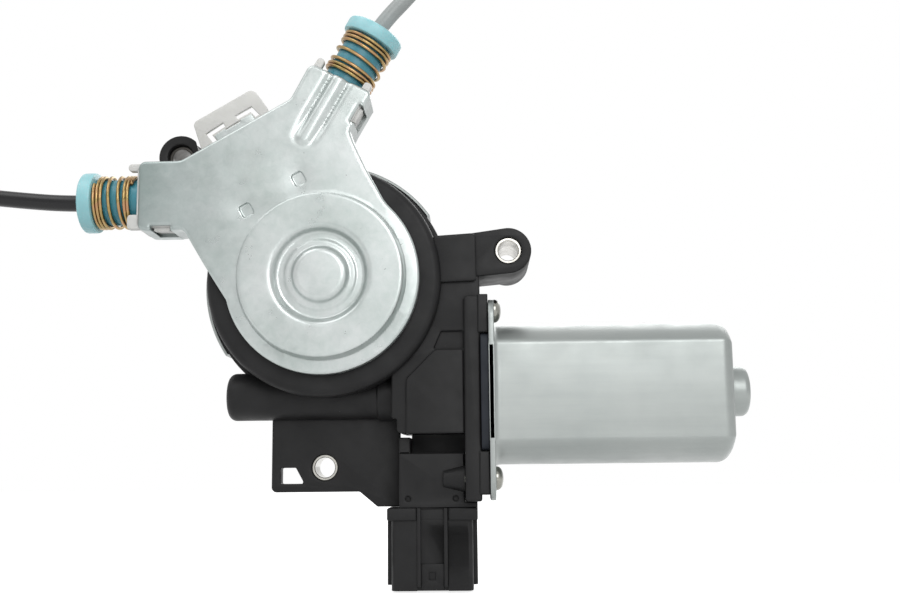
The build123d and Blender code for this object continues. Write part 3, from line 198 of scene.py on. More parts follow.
def zinc_sheet():
    """Zinc-plated sheet: pale, faintly green and mottled, satin, with rolling marks and small pits."""
    s = Shader("zinc_sheet", (0.44, 0.475, 0.465), 0.34, 0.7)
    clouds = [(0.34, (0.36, 0.4, 0.385)), (0.5, (0.43, 0.465, 0.455)), (0.64, (0.48, 0.505, 0.5))]
    tone = s.ramp(s.noise(34, 6, 0.62), clouds)
    spangle = s.noise(420, 5, 0.7, distort=0.6)
    tone = s.mix(0.22, tone, s.between(spangle, (0.3, 0.36, 0.345), (0.56, 0.58, 0.575), 0.35))
    # Painted shade: the colour darkens towards the left arm, broken up by noise
    left_painted_shade = s.math("ADD", s.across(-0.062, -0.012), s.math("MULTIPLY", s.noise(55, 6, 0.7), 0.3))
    shades = [(0.15, (0.5, 0.57, 0.56)), (0.62, (0.84, 0.86, 0.86)), (1.0, (1.04, 1.04, 1.04))]
    tone = s.mix(1.0, tone, s.ramp(left_painted_shade, shades), "MULTIPLY")
    specks = s.between(s.cells(190), (0.3, 0.32, 0.32), 1, 0, 0.035)
    s.set("Base Color", s.mix(0.5, tone, specks, "MULTIPLY"))
    s.set("Roughness", s.between(s.noise(150, 5, 0.6), 0.26, 0.4))
    s.bump(s.noise(900, 3), 0.00002, 0.3)
    s.bump(s.noise(70, 3), 0.0002, 0.2)
    return s.material


def can_steel():
    """The drawn can: soft zinc grey with long draw marks along the armature."""
    s = Shader("can_steel", (0.36, 0.385, 0.375), 0.36, 0.66)
    tone = s.between(s.noise(26, 6, 0.6), (0.255, 0.28, 0.272), (0.32, 0.34, 0.33))
    drawn = s.noise(260, 5, 0.65, stretch=(0.06, 1, 1))
    s.set("Base Color", s.mix(0.18, tone, s.between(drawn, (0.22, 0.24, 0.235), (0.37, 0.39, 0.385))))
    s.set("Roughness", s.between(s.noise(120, 5, 0.6), 0.3, 0.44))
    s.bump(drawn, 0.00002, 0.25)
    s.bump(s.noise(45, 3), 0.0002, 0.15)
    return s.material


def black_plastic():
    """Glass-filled nylon: near black, satin, with a fine grain and a few specks of dust."""
    s = Shader("black_plastic", (0.009, 0.009, 0.0095), Specular_IOR_Level=0.2)
    tone = s.between(s.noise(70, 5), (0.008, 0.008, 0.0084), (0.016, 0.016, 0.0164))
    dust = s.between(s.cells(210), 0.16, 0, 0, 0.025)
    s.set("Base Color", s.mix(1.0, tone, dust, "ADD"))
    s.set("Roughness", s.between(s.noise(160, 4), 0.42, 0.58))
    s.bump(s.noise(2600, 3), 0.00003, 0.35)
    s.bump(s.noise(300, 3), 0.00004, 0.2)
    return s.material


def plain(name, colour, rough, metal=0.0, vary=0.15, scale=120, **sockets):
    """A finish with a little variation of tone and gloss, and a fine grain."""
    s = Shader(name, colour, rough, metal, **sockets)
    low = tuple(c * (1 - vary) for c in colour)
    high = tuple(min(1, c * (1 + vary)) for c in colour)
    s.set("Base Color", s.between(s.noise(scale, 5), low, high))
    s.set("Roughness", s.between(s.noise(scale * 1.7, 4), rough - 0.07, rough + 0.07))
    s.bump(s.noise(900, 3), 0.00003, 0.4)
    return s.material


def gold_wire():
    """Yellow-passivated spring wire: gold with rosy and green tints."""
    s = Shader("gold_wire", (0.34, 0.23, 0.1), 0.3, 1.0)
    tints = [(0.28, (0.2, 0.16, 0.06)), (0.5, (0.36, 0.25, 0.11)), (0.66, (0.36, 0.2, 0.11))]
    tints += [(0.8, (0.5, 0.4, 0.22))]
    s.set("Base Color", s.ramp(s.noise(240, 4, 0.6, distort=0.8), tints))
    s.set("Roughness", s.between(s.noise(500, 3), 0.24, 0.4))
    s.bump(s.noise(1500, 2), 0.00001, 0.4)
    return s.material


def nylon_look(name, low, high, rough, scatter, weight, scale, grain):
    """Nylon that scatters light, mottled between two colours; scatter is the depth of red, green and blue."""
    s = Shader(name, high, rough, Subsurface_Weight=weight, Subsurface_Scale=0.002, Subsurface_Radius=scatter)
    s.set("Base Color", s.between(s.noise(scale, 4), low, high))
    s.bump(s.noise(grain, 3), 0.00002, 0.3)
    return s.material


def blue_nylon(name, low, high):
    return nylon_look(name, low, high, 0.38, (0.4, 1.0, 1.0), 0.25, 90, 1200)


def white_nylon():
    low, high = (0.52, 0.52, 0.5), (0.61, 0.61, 0.59)
    return nylon_look("white_nylon", low, high, 0.42, (1.0, 1.0, 0.9), 0.2, 80, 900)


def strand_steel():
    """Cable: fine strands that run round it."""
    s = Shader("strand_steel", (0.36, 0.37, 0.38), 0.36, 1.0)
    inputs = {"Scale": 900, "Distortion": 0.4, "Vector": s.scaled((1, 1, 0.7))}
    wave = s.made("ShaderNodeTexWave", "Fac", inputs)
    s.set("Base Color", s.between(wave, (0.16, 0.17, 0.18), (0.5, 0.51, 0.52), 0.2, 0.8))
    s.bump(wave, 0.00006, 0.6)
    return s.material


LOOK = {
    "cover": zinc_sheet(),
    "can": can_steel(),
    "black": black_plastic(),
    "gold": gold_wire(),
    "nylon": white_nylon(),
    "flange_blue": blue_nylon("flange_blue", (0.26, 0.53, 0.57), (0.31, 0.58, 0.62)),
    # The plug body: the flange's blue plastic, darkened to teal as painted shade
    "body_teal_painted_shade": blue_nylon("body_teal_painted_shade", (0.028, 0.18, 0.23), (0.04, 0.23, 0.29)),
    "strand": strand_steel(),
    "conduit_black": plain("conduit_black", (0.008, 0.008, 0.009), 0.3, scale=60, Specular_IOR_Level=0.3),
    "conduit_grey": plain("conduit_grey", (0.29, 0.31, 0.305), 0.4, scale=60),
    "fitting": plain("fitting", (0.01, 0.01, 0.011), 0.45, Specular_IOR_Level=0.25),
    "bright": plain("bright", (0.25, 0.25, 0.225), 0.24, 1.0, scale=300),
    "sleeve": plain("sleeve", (0.4, 0.39, 0.36), 0.26, 1.0, vary=0.2, scale=260),
    "sleeve_dull": plain("sleeve_dull", (0.07, 0.066, 0.06), 0.4, 0.8, vary=0.3, scale=260),
    "gasket": plain("gasket", (0.018, 0.021, 0.027), 0.6, Specular_IOR_Level=0.2),
    "rubber": plain("rubber", (0.02, 0.02, 0.02), 0.7),
    "bronze": plain("bronze", (0.4, 0.26, 0.13), 0.5, 1.0),
    "steel": plain("steel", (0.5, 0.5, 0.5), 0.3, 1.0),
    "ferrite": plain("ferrite", (0.06, 0.06, 0.06), 0.6),
    "copper": plain("copper", (0.6, 0.26, 0.12), 0.35, 1.0),
    "tin": plain("tin", (0.66, 0.66, 0.63), 0.25, 1.0),
    "acetal": plain("acetal", (0.7, 0.69, 0.64), 0.4),
    "card": plain("card", (0.09, 0.07, 0.05), 0.55),
}


# --- Mesh tools ---


def placed(name, data):
    """A new object in the scene."""
    piece = bpy.data.objects.new(name, data)
    bpy.context.scene.collection.objects.link(piece)
    return piece


def stands_for(piece, body, slot, node):
    """The piece rides on its body, and is shown in place of its CAD node."""
    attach(piece, body)
    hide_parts(node)
    return piece


class Build:
    """Closed shells gathered into one object."""

    def __init__(self):
        self.verts, self.faces, self.slots = [], [], []
        self.slot = 0

    def add(self, verts, faces):
        base = len(self.verts)
        self.verts.extend(Vector(p) for p in verts)
        self.faces.extend([base + i for i in face] for face in faces)
        self.slots.extend([self.slot] * len(faces))

    def done(self, name, looks, body, slot, node, sharp=32):
        """The finished piece."""
        mesh = bpy.data.meshes.new(name)
        mesh.from_pydata(self.verts, [], self.faces)
        for look in looks:
            mesh.materials.append(LOOK[look])
        mesh.polygons.foreach_set("material_index", self.slots)
        b = bmesh.new()
        b.from_mesh(mesh)
        bmesh.ops.remove_doubles(b, verts=b.verts, dist=1e-7)
        bmesh.ops.recalc_face_normals(b, faces=b.faces)
        b.to_mesh(mesh)
        b.free()
        mesh.shade_smooth()
        mesh.set_sharp_from_angle(angle=math.radians(sharp))
        return stands_for(placed(name, mesh), body, slot, node)


def arc(x, z, r, start, end, step=5.0):
    n = max(2, int(abs(end - start) / step) + 1)
    angles = [math.radians(start + (end - start) * i / (n - 1)) for i in range(n)]
    return [(x + r * math.cos(a), z + r * math.sin(a)) for a in angles]


def circle(x, z, r, step=5.0):
    return arc(x, z, r, 0, 360, step)[:-1]


def box(x0, x1, z0, z1):
    return [(x0, z0), (x1, z0), (x1, z1), (x0, z1)]


def rounded(points, radii, closed=True, step=15.0):
    """The outline with its corners rounded; radii is one radius or one for each point."""
    n = len(points)
    radii = [radii] * n if isinstance(radii, (int, float)) else radii
    out = []
    for i, point in enumerate(points):
        p, a, b = Vector(point), Vector(points[i - 1]), Vector(points[(i + 1) % n])
        u, v = (a - p).normalized(), (b - p).normalized()
        half = math.acos(max(-1, min(1, u.dot(v)))) / 2
        straight = half > math.radians(89)
        if not closed and i in (0, n - 1) or radii[i] <= 0 or straight:
            out.append(tuple(point))
            continue
        # The arc touches both sides at this distance from the corner, and takes under half of each
        reach = min(radii[i] / math.tan(half), 0.48 * (a - p).length, 0.48 * (b - p).length)
        middle = p + (u + v).normalized() * (reach / math.cos(half))
        one, two = p + u * reach - middle, p + v * reach - middle
        sweep = math.atan2(one.x * two.y - one.y * two.x, one.dot(two))
        count = max(2, int(abs(math.degrees(sweep)) / step) + 2)
        for k in range(count):
            c, s = polar(1, math.degrees(sweep) * k / (count - 1))
            out.append((middle.x + one.x * c - one.y * s, middle.y + one.x * s + one.y * c))
    return out


def area(loop):
    return sum(a[0] * b[1] - b[0] * a[1] for a, b in zip(loop, loop[1:] + loop[:1])) / 2


def offset(loop, d):
    """The loop moved by d to its left, which is into the material."""
    p = np.array(loop, float)
    before, after = p - np.roll(p, 1, 0), np.roll(p, -1, 0) - p
    before /= np.linalg.norm(before, axis=1)[:, None] + 1e-12
    after /= np.linalg.norm(after, axis=1)[:, None] + 1e-12
    n1 = np.stack([-before[:, 1], before[:, 0]], 1)
    n2 = np.stack([-after[:, 1], after[:, 0]], 1)
    way = n1 + n2
    way /= np.linalg.norm(way, axis=1)[:, None] + 1e-12
    share = np.clip((way * n1).sum(1), 0.5, 1)
    return [tuple(q) for q in p + way * (d / share)[:, None]]


def quarter(r, steps=3):
    """Depth and inset of each row of an edge rounded by r, from the wall to the face."""
    turns = [polar(1, 90 * i / steps) for i in range(steps + 1)]
    return [(r * (1 - s), r * (1 - c)) for c, s in turns]


def slab(m, loops, h0, h1, edge=0.35, rear=0.2, place=world):
    """A solid between two heights with rounded edges: the first loop is its outline, the others holes."""
    loops = [list(q) for q in loops]
    for i, loop in enumerate(loops):
        if (area(loop) < 0) == (i == 0):
            loop.reverse()
    rows = [(h0 + depth, inset) for depth, inset in reversed(quarter(rear))] if rear else [(h0, 0)]
    rows += [(h1 - depth, inset) for depth, inset in quarter(edge)] if edge else [(h1, 0)]
    verts, faces, start = [], [], []
    for loop in loops:
        first, n = len(verts), len(loop)
        start.append(first)
        for h, inset in rows:
            verts += [place(x, z, h) for x, z in (offset(loop, inset) if inset else loop)]
        for r in range(len(rows) - 1):
            for i in range(n):
                a, b = first + r * n + i, first + r * n + (i + 1) % n
                faces.append((a, b, b + n, a + n))
    for row in (0, len(rows) - 1):
        inset = rows[row][1]
        flat = [[Vector((x, z, 0)) for x, z in (offset(q, inset) if inset else q)] for q in loops]
        index = [s + row * len(q) + i for s, q in zip(start, loops) for i in range(len(q))]
        faces += [[index[t] for t in tri] for tri in tessellate_polygon(flat)]
    m.add(verts, faces)


def revolve(m, profile, axes, n=120, start=0.0, end=360.0):
    """A profile of (along, radius) turned about an axis; a part turn gets flat ends."""
    origin, along, u, v = axes
    full = abs(end - start) >= 360
    count = n if full else n + 1
    verts, faces = [], []
    for i in range(count):
        c, s = polar(1, start + (end - start) * i / n)
        ray = u * c + v * s
        verts += [origin + along * (p * MM) + ray * (r * MM) for p, r in profile]
    k = len(profile)
    closed = math.dist(profile[0], profile[-1]) > 1e-6 and profile[0][1] > 1e-6
    for i in range(n):
        j = (i + 1) % count
        for q in range(k if closed else k - 1):
            w = (q + 1) % k
            corner = [i * k + q, i * k + w, j * k + w, j * k + q]
            if profile[q][1] < 1e-6:
                corner = [i * k + q, i * k + w, j * k + w]
            elif profile[w][1] < 1e-6:
                corner = [i * k + q, i * k + w, j * k + q]
            faces.append(corner)
    if not full:
        faces.append(list(range(k)))
        faces.append([n * k + q for q in range(k)][::-1])
    m.add(verts, faces)


def loft(m, rings):
    """A skin over rings of equally many points, closed at both ends."""
    n = len(rings[0])
    last = (len(rings) - 1) * n
    faces = []
    for r in range(0, last, n):
        for i in range(n):
            j = (i + 1) % n
            faces.append((r + i, r + j, r + n + j, r + n + i))
    faces.append(list(range(n))[::-1])
    faces.append([last + i for i in range(n)])
    m.add([p for ring in rings for p in ring], faces)


def tube(m, points, r, n=12):
    """A round wire along points in metres, with rounded ends."""
    rings = []
    side = (points[1] - points[0]).orthogonal().normalized()
    for i, p in enumerate(points):
        along = (points[min(i + 1, len(points) - 1)] - points[max(i - 1, 0)]).normalized()
        side = (side - along * side.dot(along)).normalized()
        up = along.cross(side)
        ring = [side * c + up * s for c, s in (polar(1, 360 * k / n) for k in range(n))]
        rings.append([p + q * r for q in ring])
        if i in (0, len(points) - 1):
            way = -0.5 * r if i == 0 else 0.5 * r
            cap = [p + along * way + q * (0.6 * r) for q in ring]
            rings.insert(0 if i == 0 else len(rings), cap)
    loft(m, rings)


# --- Camera, light and floor ---

CAMERA_PLACE = (0.0482586, -0.3646588, -0.0000044)
CAMERA_TURN = (98.520362, 0.594791, 1.429184)
CAMERA_LENS, SENSOR = 44.4, 36
FLOOR_TONE, FLOOR_LIFT, FLOOR_REACH, FLOOR_GAP = 0.6, 0.8, 1.6, 0.0006
WORLD_STRENGTH = 0.62
LAMP_TARGET = (0.02, 0, 0.045)
# Each lamp's name, place, size in metres and power
LAMPS = [
    ("key", (0.38, -1.2, 0.56), (0.8, 0.7), 7.5),
    ("upper", (-0.6, -0.6, 1.3), (0.9, 0.9), 6),
    ("back", (0.3, 1.1, 0.8), (1.0, 0.8), 6),
]


def camera():
    data = bpy.data.cameras.new("camera")
    data.sensor_width = SENSOR
    data.lens = CAMERA_LENS
    data.clip_start = 0.01
    eye = placed("camera", data)
    eye.location = CAMERA_PLACE
    eye.rotation_euler = [math.radians(a) for a in CAMERA_TURN]
    bpy.context.scene.camera = eye


def lamp(name, place, size, power):
    data = bpy.data.lights.new(name, "AREA")
    data.shape = "RECTANGLE"
    data.size, data.size_y = size
    data.energy = power
    piece = placed(name, data)
    piece.location = place
    piece.rotation_euler = (Vector(LAMP_TARGET) - Vector(place)).to_track_quat("-Z", "Y").to_euler()


def white_when_seen(t, lit, seen_as, output):
    """Lights the part as one shader does, and is seen as another by the camera and in metal and glass."""
    path = t.nodes.new("ShaderNodeLightPath").outputs
    seen = path["Is Camera Ray"]
    for ray in ("Is Glossy Ray", "Is Transmission Ray"):
        seen = made(t, "ShaderNodeMath", 0, {0: seen, 1: path[ray]}, operation="MAXIMUM")
    surface = made(t, "ShaderNodeMixShader", 0, {0: seen, 1: lit, 2: seen_as})
    t.links.new(surface, t.nodes.new(output).inputs["Surface"])


def cleared(holder):
    """The empty node tree of a material or world."""
    holder.use_nodes = True
    holder.node_tree.nodes.clear()
    return holder.node_tree


def floor():
    """A pale floor just under the part. What looks at it sees white, and grey where the part shades it."""
    low, high = cad_box
    x, y, z = (low[0] + high[0]) / 2, (low[1] + high[1]) / 2, low[2] - FLOOR_GAP
    mesh = bpy.data.meshes.new("floor")
    corners = box(x - FLOOR_REACH, x + FLOOR_REACH, y - FLOOR_REACH, y + FLOOR_REACH)
    mesh.from_pydata([(a, b, z) for a, b in corners], [], [(0, 1, 2, 3)])
    m = bpy.data.materials.new("floor")
    t = cleared(m)
    diffuse = made(t, "ShaderNodeBsdfDiffuse", 0, {"Color": (FLOOR_TONE, FLOOR_TONE, FLOOR_TONE, 1)})
    lift = made(t, "ShaderNodeEmission", 0, {"Strength": FLOOR_LIFT})
    both = made(t, "ShaderNodeAddShader", 0, {0: diffuse, 1: lift})
    white_when_seen(t, diffuse, both, "ShaderNodeOutputMaterial")
    mesh.materials.append(m)
    placed("floor", mesh)


def world_light():
    """A grey world that is seen as white."""
    w = bpy.data.worlds.new("studio")
    bpy.context.scene.world = w
    t = cleared(w)
    levels = [{"Color": (1, 1, 1, 1), "Strength": strength} for strength in (WORLD_STRENGTH, 1)]
    light, white = (made(t, "ShaderNodeBackground", 0, level) for level in levels)
    white_when_seen(t, light, white, "ShaderNodeOutputWorld")


# --- Cords ---

CONDUIT_SOCKET = 74.0  # where the conduits start, along the arms
CONDUIT_R = 2.6
CONDUIT_ROUTES = {
    "left": [(0, 0), (9.0, 0), (24.0, 1.4), (38.0, 3.1), (49.0, 3.9)],
    "upper": [(0, 0), (7.4, 0), (22.0, -3.65), (35.0, -5.75), (44.0, -7.8)],
}
CONDUIT_LOOK = {"left": "conduit_black", "upper": "conduit_grey"}


def route(side):
    return [world(*cable_point(side, CONDUIT_SOCKET + s, out), CABLE_H) for s, out in CONDUIT_ROUTES[side]]


def conduit(side):
    points = route(side)
    data = bpy.data.curves.new(f"conduit_{side}_jacket", "CURVE")
    data.dimensions = "3D"
    data.bevel_depth = CONDUIT_R * MM
    data.bevel_resolution = 8
    data.use_fill_caps = True
    data.resolution_u = 24
    line = data.splines.new("NURBS")
    line.points.add(len(points) - 1)
    for point, place in zip(line.points, points):
        point.co = (*place, 1)
    line.order_u = 3
    line.use_endpoint_u = True
    data.materials.append(LOOK[CONDUIT_LOOK[side]])
    piece = placed(f"conduit_{side}_jacket", data)
    return stands_for(piece, f"plug_{side}", CONDUIT_LOOK[side], f"conduit_{side}")


def end_fitting(side):
    """The end fitting on the conduit: a moulded sleeve with a collar, drawn along the last run."""
    m = Build()
    a, b = route(side)[-2:]
    along = (b - a).normalized()
    u = Vector((0, -1, 0))
    profile = [(-6, 2.65), (-6, 3.3), (-5.5, 3.8), (2.0, 3.8), (2.0, 4.9), (2.3, 5.2), (3.7, 5.2), (4.0, 4.9)]
    profile += [(4.0, 3.8), (6.2, 3.8), (7.0, 3.2), (7.0, 0.85), (0.2, 0.85), (0.2, 2.65)]
    revolve(m, profile, (b, along, u, along.cross(u)), 48)
    return m.done(f"end_sleeve_{side}", ["fitting"], f"plug_{side}", "fitting_black", f"end_fitting_{side}")


# --- Gear housing ---

CASING_R, CASING_REAR, CASING_TOP = 38.6, 4.2, 14.0
CHAMBER_R, ROOF = 33.0, 17.0
DECK_R, DECK, SHAFT_HOLE_R = 36.4, 19.0, 7.6
RING_R, RING_TOP, RING_EDGE, WELL_R = 36.5, 28.0, 2.6, 29.0
RING_FROM, RING_TO = 151.0, 446.5
TUBE_LEFT, TUBE_R, TUBE_BORE_R, TUBE_EDGE = -31.6, 7.5, 4.0, 2.4
BODY_REAR, BODY_FRONT, BLOCK_FRONT, WALL_FRONT = -4.0, 24.5, 26.0, 26.5
BODY = [(20.8, -43.2), (20.8, -26), (28.2, -13), (31, 0), (34, 13.3), (47.3, 14.1), (48.3, -1.5)]
BODY += [(48.3, -47.7), (22.4, -47.7), (22.4, -43.2)]
BODY_BACK = [(36.4, -12), (38, 13.4), (47.3, 14.1), (48.3, -1.5), (48.3, -47.7), (22.4, -47.7), (24, -36)]
RECESS, RECESS_DEPTH = [(34.0, -21.9), (36.3, -16.5), (42.9, -16.5), (42.9, -21.9)], 1.2
BLOCK = [(34, 13.3), (47.3, 14.1), (47.4, -1.1), (34, -1.5)]
WALL = box(43.2, 48.3, -5.6, -68.4)
SLEEVE_R, SLEEVE_BORE_R = 4.15, 3.15
# Each lug's x, z, radius and front
RIGHT_LUG = (57.4, 8.5, 7.2, 25.0)
LEFT_LUG = (-49.5, 44.0, 6.5, 12.0)
LOW_LUG = (-DRUM_X, -DRUM_Z, 6.5, 12.0)
RIGHT_ROOTS = (42.3, -0.1), (42.3, 13.7)
LEFT_ROOT_R, LEFT_ROOT_HALF = 37.0, 12.4
LEFT_WAY = math.degrees(math.atan2(LEFT_LUG[1], LEFT_LUG[0]))
BRACKET = [(-18, -38), (-18, -65.4), (9.8, -65.4), (15.4, -70.1), (22.5, -70.1), (22.5, -38)]
BRACKET_WINDOW = [(-15.2, -57.8), (-10.4, -57.8), (-8.1, -62), (-8.2, -62.8), (-15.2, -62.8)]


def casing(m):
    """The casing with its deck, and the raised ring on a small step, open where the white arms leave."""
    shell = [(CASING_REAR, 38.2), (CASING_REAR + 0.4, CASING_R), (13.5, CASING_R), (13.86, 38.45)]
    shell += [(CASING_TOP, 38.1), (CASING_TOP, DECK_R), (DECK, DECK_R), (DECK, SHAFT_HOLE_R)]
    shell += [(ROOF, SHAFT_HOLE_R), (ROOF, CHAMBER_R), (CASING_REAR, CHAMBER_R)]
    revolve(m, shell, DRUM_FRAME, 160)
    ring = [(CASING_TOP - 0.5, RING_R)]
    for d in (RING_EDGE, 1.9, 1.2, 0.7, 0.3, 0.08, 0):
        ring.append((RING_TOP - d, RING_R - RING_EDGE + math.sqrt(RING_EDGE**2 - (RING_EDGE - d) ** 2)))
    ring += [(RING_TOP, WELL_R + 0.4), (RING_TOP - 0.4, WELL_R), (DECK - 0.5, WELL_R)]
    step = [(13.0, 37.6), (15.2, 37.6), (15.6, 37.2), (15.6, 36.0), (13.0, 36.0)]
    for profile in (ring, step):
        revolve(m, profile, DRUM_FRAME, 150, RING_FROM, RING_TO)


def worm_tube(m):
    line = [(TUBE_LEFT, 0)] + [(TUBE_LEFT + inset, TUBE_R - depth) for depth, inset in quarter(TUBE_EDGE, 6)]
    line += [(15.6, TUBE_R), (15.9, 7.8), (16.2, 8.1), (20.6, 8.1), (22.0, 8.1), (22.0, 6.7), (-22, 6.7)]
    line += [(-22, TUBE_BORE_R), (TUBE_LEFT + 1.5, TUBE_BORE_R), (TUBE_LEFT + 1.5, 0)]
    revolve(m, line, MOTOR_FRAME, 72)


def motor_end(m):
    """The body with its recess, the raised block, the wall and, beside the gasket, the wall's two pads."""
    body = rounded(BODY, [1.0, 0.5, 1, 1, 1, 1.5, 1, 1.5, 1.5, 0.5])
    slab(m, [body], CASING_REAR, BODY_FRONT - RECESS_DEPTH, edge=0)
    slab(m, [body, rounded(RECESS, 0.3)], BODY_FRONT - RECESS_DEPTH - 0.1, BODY_FRONT, edge=0.6, rear=0)
    slab(m, [rounded(BODY_BACK, 1.5)], BODY_REAR, CASING_REAR + 0.1, edge=0, rear=0.8)
    slab(m, [rounded(BLOCK, [1.2, 1.6, 1.2, 1.2])], BODY_FRONT - 0.5, BLOCK_FRONT, edge=0.6)
    slab(m, [rounded(WALL, [1.6, 0.8, 0.8, 0.8])], BODY_REAR, WALL_FRONT, edge=0.8, rear=0.8)
    for low, high in ((GASKET_TOP + 0.2, -5.4), (-66.4, GASKET_LOW - 0.2)):
        slab(m, [rounded(box(47.5, FLANGE_LEFT - 0.1, low, high), 0.3)], 4.0, 27.0, edge=0.4, rear=0.4)


def lug_outline(lug, root_one, root_two):
    """The outline of a lug on an arm: round the far side, and straight back to the two root points."""
    x, z, r = lug[:3]
    way = math.degrees(math.atan2(z - (root_one[1] + root_two[1]) / 2, x - (root_one[0] + root_two[0]) / 2))
    return [root_one] + arc(x, z, r, way - 92, way + 92, 6) + [root_two]


def lugs(m):
    """Two lugs on arms and the lower bracket with its window, each with a foot down to the panel."""
    x, z = polar(LEFT_ROOT_R, LEFT_WAY)
    dx, dz = polar(LEFT_ROOT_HALF, LEFT_WAY + 90)
    left = lug_outline(LEFT_LUG, (x + dx, z + dz), (x - dx, z - dz))
    right = lug_outline(RIGHT_LUG, *RIGHT_ROOTS)
    bracket = [rounded(BRACKET, [0.5, 1.6, 1.0, 0.8, 0.6, 0.5]), rounded(BRACKET_WINDOW, 0.5)]
    for lug, loops, low, edge, rear in (
        (RIGHT_LUG, [right], 4.0, 0.6, 0.4),
        (LEFT_LUG, [left], CASING_REAR, 0.6, 0.4),
        (LOW_LUG, bracket, 7.0, 0.4, 0.2),
    ):
        hole = circle(*lug[:2], SLEEVE_R)
        slab(m, [*loops, hole], low, lug[3], edge, rear)
        slab(m, [circle(*lug[:3]), hole], 0, low + 0.2, edge=0, rear=0.4)


def housing():
    m = Build()
    for sub_part in (casing, worm_tube, motor_end, lugs):
        sub_part(m)
    m.done("housing_shell", ["black"], ROOT, "black_housing", "gear_housing")


def sleeve(name, lug, look="sleeve", recess=0.6):
    m = Build()
    x, z, _, front = lug
    top = front - recess
    wall = [(0, 3.3), (0, 3.95), (0.2, SLEEVE_R), (top - 0.25, SLEEVE_R), (top, 3.9), (top, 3.35)]
    wall += [(top - 0.2, SLEEVE_BORE_R), (0.2, SLEEVE_BORE_R)]
    revolve(m, wall, (world(x, z, 0), *DRUM_FRAME[1:]), 64)
    m.done(f"{name}_ring", [look], ROOT, "sleeve_steel", name)


LID_FOLD_FROM, LID_FOLD_TO = 35, 214
LID_GAP = math.degrees(math.atan2(16, 36))


def rear_lid():
    """Steel lid with a domed bearing seat, its rim folded over the casing except beside the left lug."""
    m = Build()
    dish = [(0.6, 0), (0.6, 6.6), (1.0, 7.0), (2.3, 7.2), (2.8, 7.8), (2.8, 35.6), (3.1, 36.2), (4.0, 36.2)]
    dish += [(4.0, 0)]
    fold = [(2.8, 36.0), (2.8, 38.9), (3.05, 39.45), (3.6, 39.7), (13.3, 39.7), (13.6, 39.4), (13.6, 38.9)]
    fold += [(13.3, 38.7), (4.0, 38.7), (4.0, 36.0)]
    flat = [(2.8, 36.0), (2.8, 39.2), (3.1, 39.6), (3.8, 39.7), (4.0, 39.5), (4.0, 36.0)]
    revolve(m, dish, DRUM_FRAME, 140)
    revolve(m, fold, DRUM_FRAME, 60, LID_FOLD_FROM, LEFT_WAY - LID_GAP)
    revolve(m, fold, DRUM_FRAME, 40, LEFT_WAY + LID_GAP, LID_FOLD_TO)
    revolve(m, flat, DRUM_FRAME, 24, LEFT_WAY - LID_GAP - 0.2, LEFT_WAY + LID_GAP + 0.2)
    m.done("rear_lid_shell", ["can"], ROOT, "lid_steel", "gear_cover")


# --- Motor ---

CAN_R, CAN_FLAT, CAN_WALL, CAN_CORNER = 22.0, 16.0, 1.6, 2.4
CAN_RIGHT, CAN_EDGE = 125.3, 3.8
BOSS_R, BOSS_RIGHT, BOSS_EDGE = 7.8, 131.9, 2.1
FLANGE_LEFT, FLANGE_RIGHT, FLANGE_LOW, FLANGE_TOP, FLANGE_HALF = 50.8, 52.5, -68.2, -6.8, 17.0
GASKET_LEFT, GASKET_LOW, GASKET_TOP, GASKET_HALF, GASKET_HOLE_R = 48.3, -53.2, -17.5, 16.0, 13.5
SCREW_ZS, SCREW_H, SCREW_R, SCREW_RISE, SHANK_R, SHANK_LEFT = (-9.9, -61.6), 20.0, 3.65, 2.3, 1.55, 42.6
SOCKET_R, SOCKET_DEPTH = 0.35, 0.9


def can_section(inset, corner=CAN_CORNER):
    """Height and z of the can's section: a circle with a flat front and rear, the corners rounded."""
    r, flat = CAN_R - inset, CAN_FLAT - inset
    c = max(0.3, corner - inset)
    middle_h = flat - c
    middle_z = math.sqrt((r - c) ** 2 - middle_h**2)
    turn = math.degrees(math.atan2(middle_z, middle_h))
    # Steps that give every inset equally many points
    first = arc(middle_h, middle_z, c, 0, turn, turn / 6.5) + arc(0, 0, r, turn, 90, (90 - turn) / 20.5)[1:]
    half = first + [(-h, z) for h, z in reversed(first[:-1])]
    return half + [(-h, -z) for h, z in half]


def motor_place(a, b, x):
    return world(x, b + MOTOR_Z, a + MOTOR_H)


def can():
    m = Build()
    # Rows of (x, inset): back along the inside, round the root of the flange, and out over the end
    rows = [(CAN_RIGHT - 1.6, CAN_WALL + 3.0), (CAN_RIGHT - 2.2, CAN_WALL + 1.0), (CAN_RIGHT - 4, CAN_WALL)]
    rows += [(FLANGE_LEFT, CAN_WALL), (FLANGE_LEFT, CAN_FLAT - FLANGE_HALF)]
    rows += [(FLANGE_RIGHT + a, -b) for a, b in ((0, 1.0), (0.1, 0.65), (0.5, 0.3), (1.1, 0.08), (1.9, 0))]
    rows += [(CAN_RIGHT - depth, inset) for depth, inset in quarter(CAN_EDGE, 8)]
    loft(m, [[motor_place(a, b, x) for a, b in can_section(inset)] for x, inset in rows])
    # End boss with the pip of the bearing
    boss = [(-0.4, 0), (-0.4, 8.6), (0, 8.5), (0.5, 8.05), (1.2, 7.9), (2.2, 7.85)]
    boss = [(CAN_RIGHT + a, r) for a, r in boss]
    boss += [(BOSS_RIGHT - depth, BOSS_R - inset) for depth, inset in quarter(BOSS_EDGE, 6)]
    boss += [(BOSS_RIGHT + a, r) for a, r in ((0, 1.9), (0.15, 1.55), (0.5, 1.4), (0.75, 0.9), (0.8, 0))]
    revolve(m, boss, MOTOR_FRAME, 72)
    flange = box(-FLANGE_HALF, FLANGE_HALF, FLANGE_LOW - MOTOR_Z, FLANGE_TOP - MOTOR_Z)
    loops = [rounded(flange, 6.0, step=8), can_section(CAN_WALL, 2.0)]
    slab(m, loops, FLANGE_LEFT, FLANGE_RIGHT, place=motor_place)
    m.done("can_shell", ["can"], ROOT, "can_steel", "motor_can")


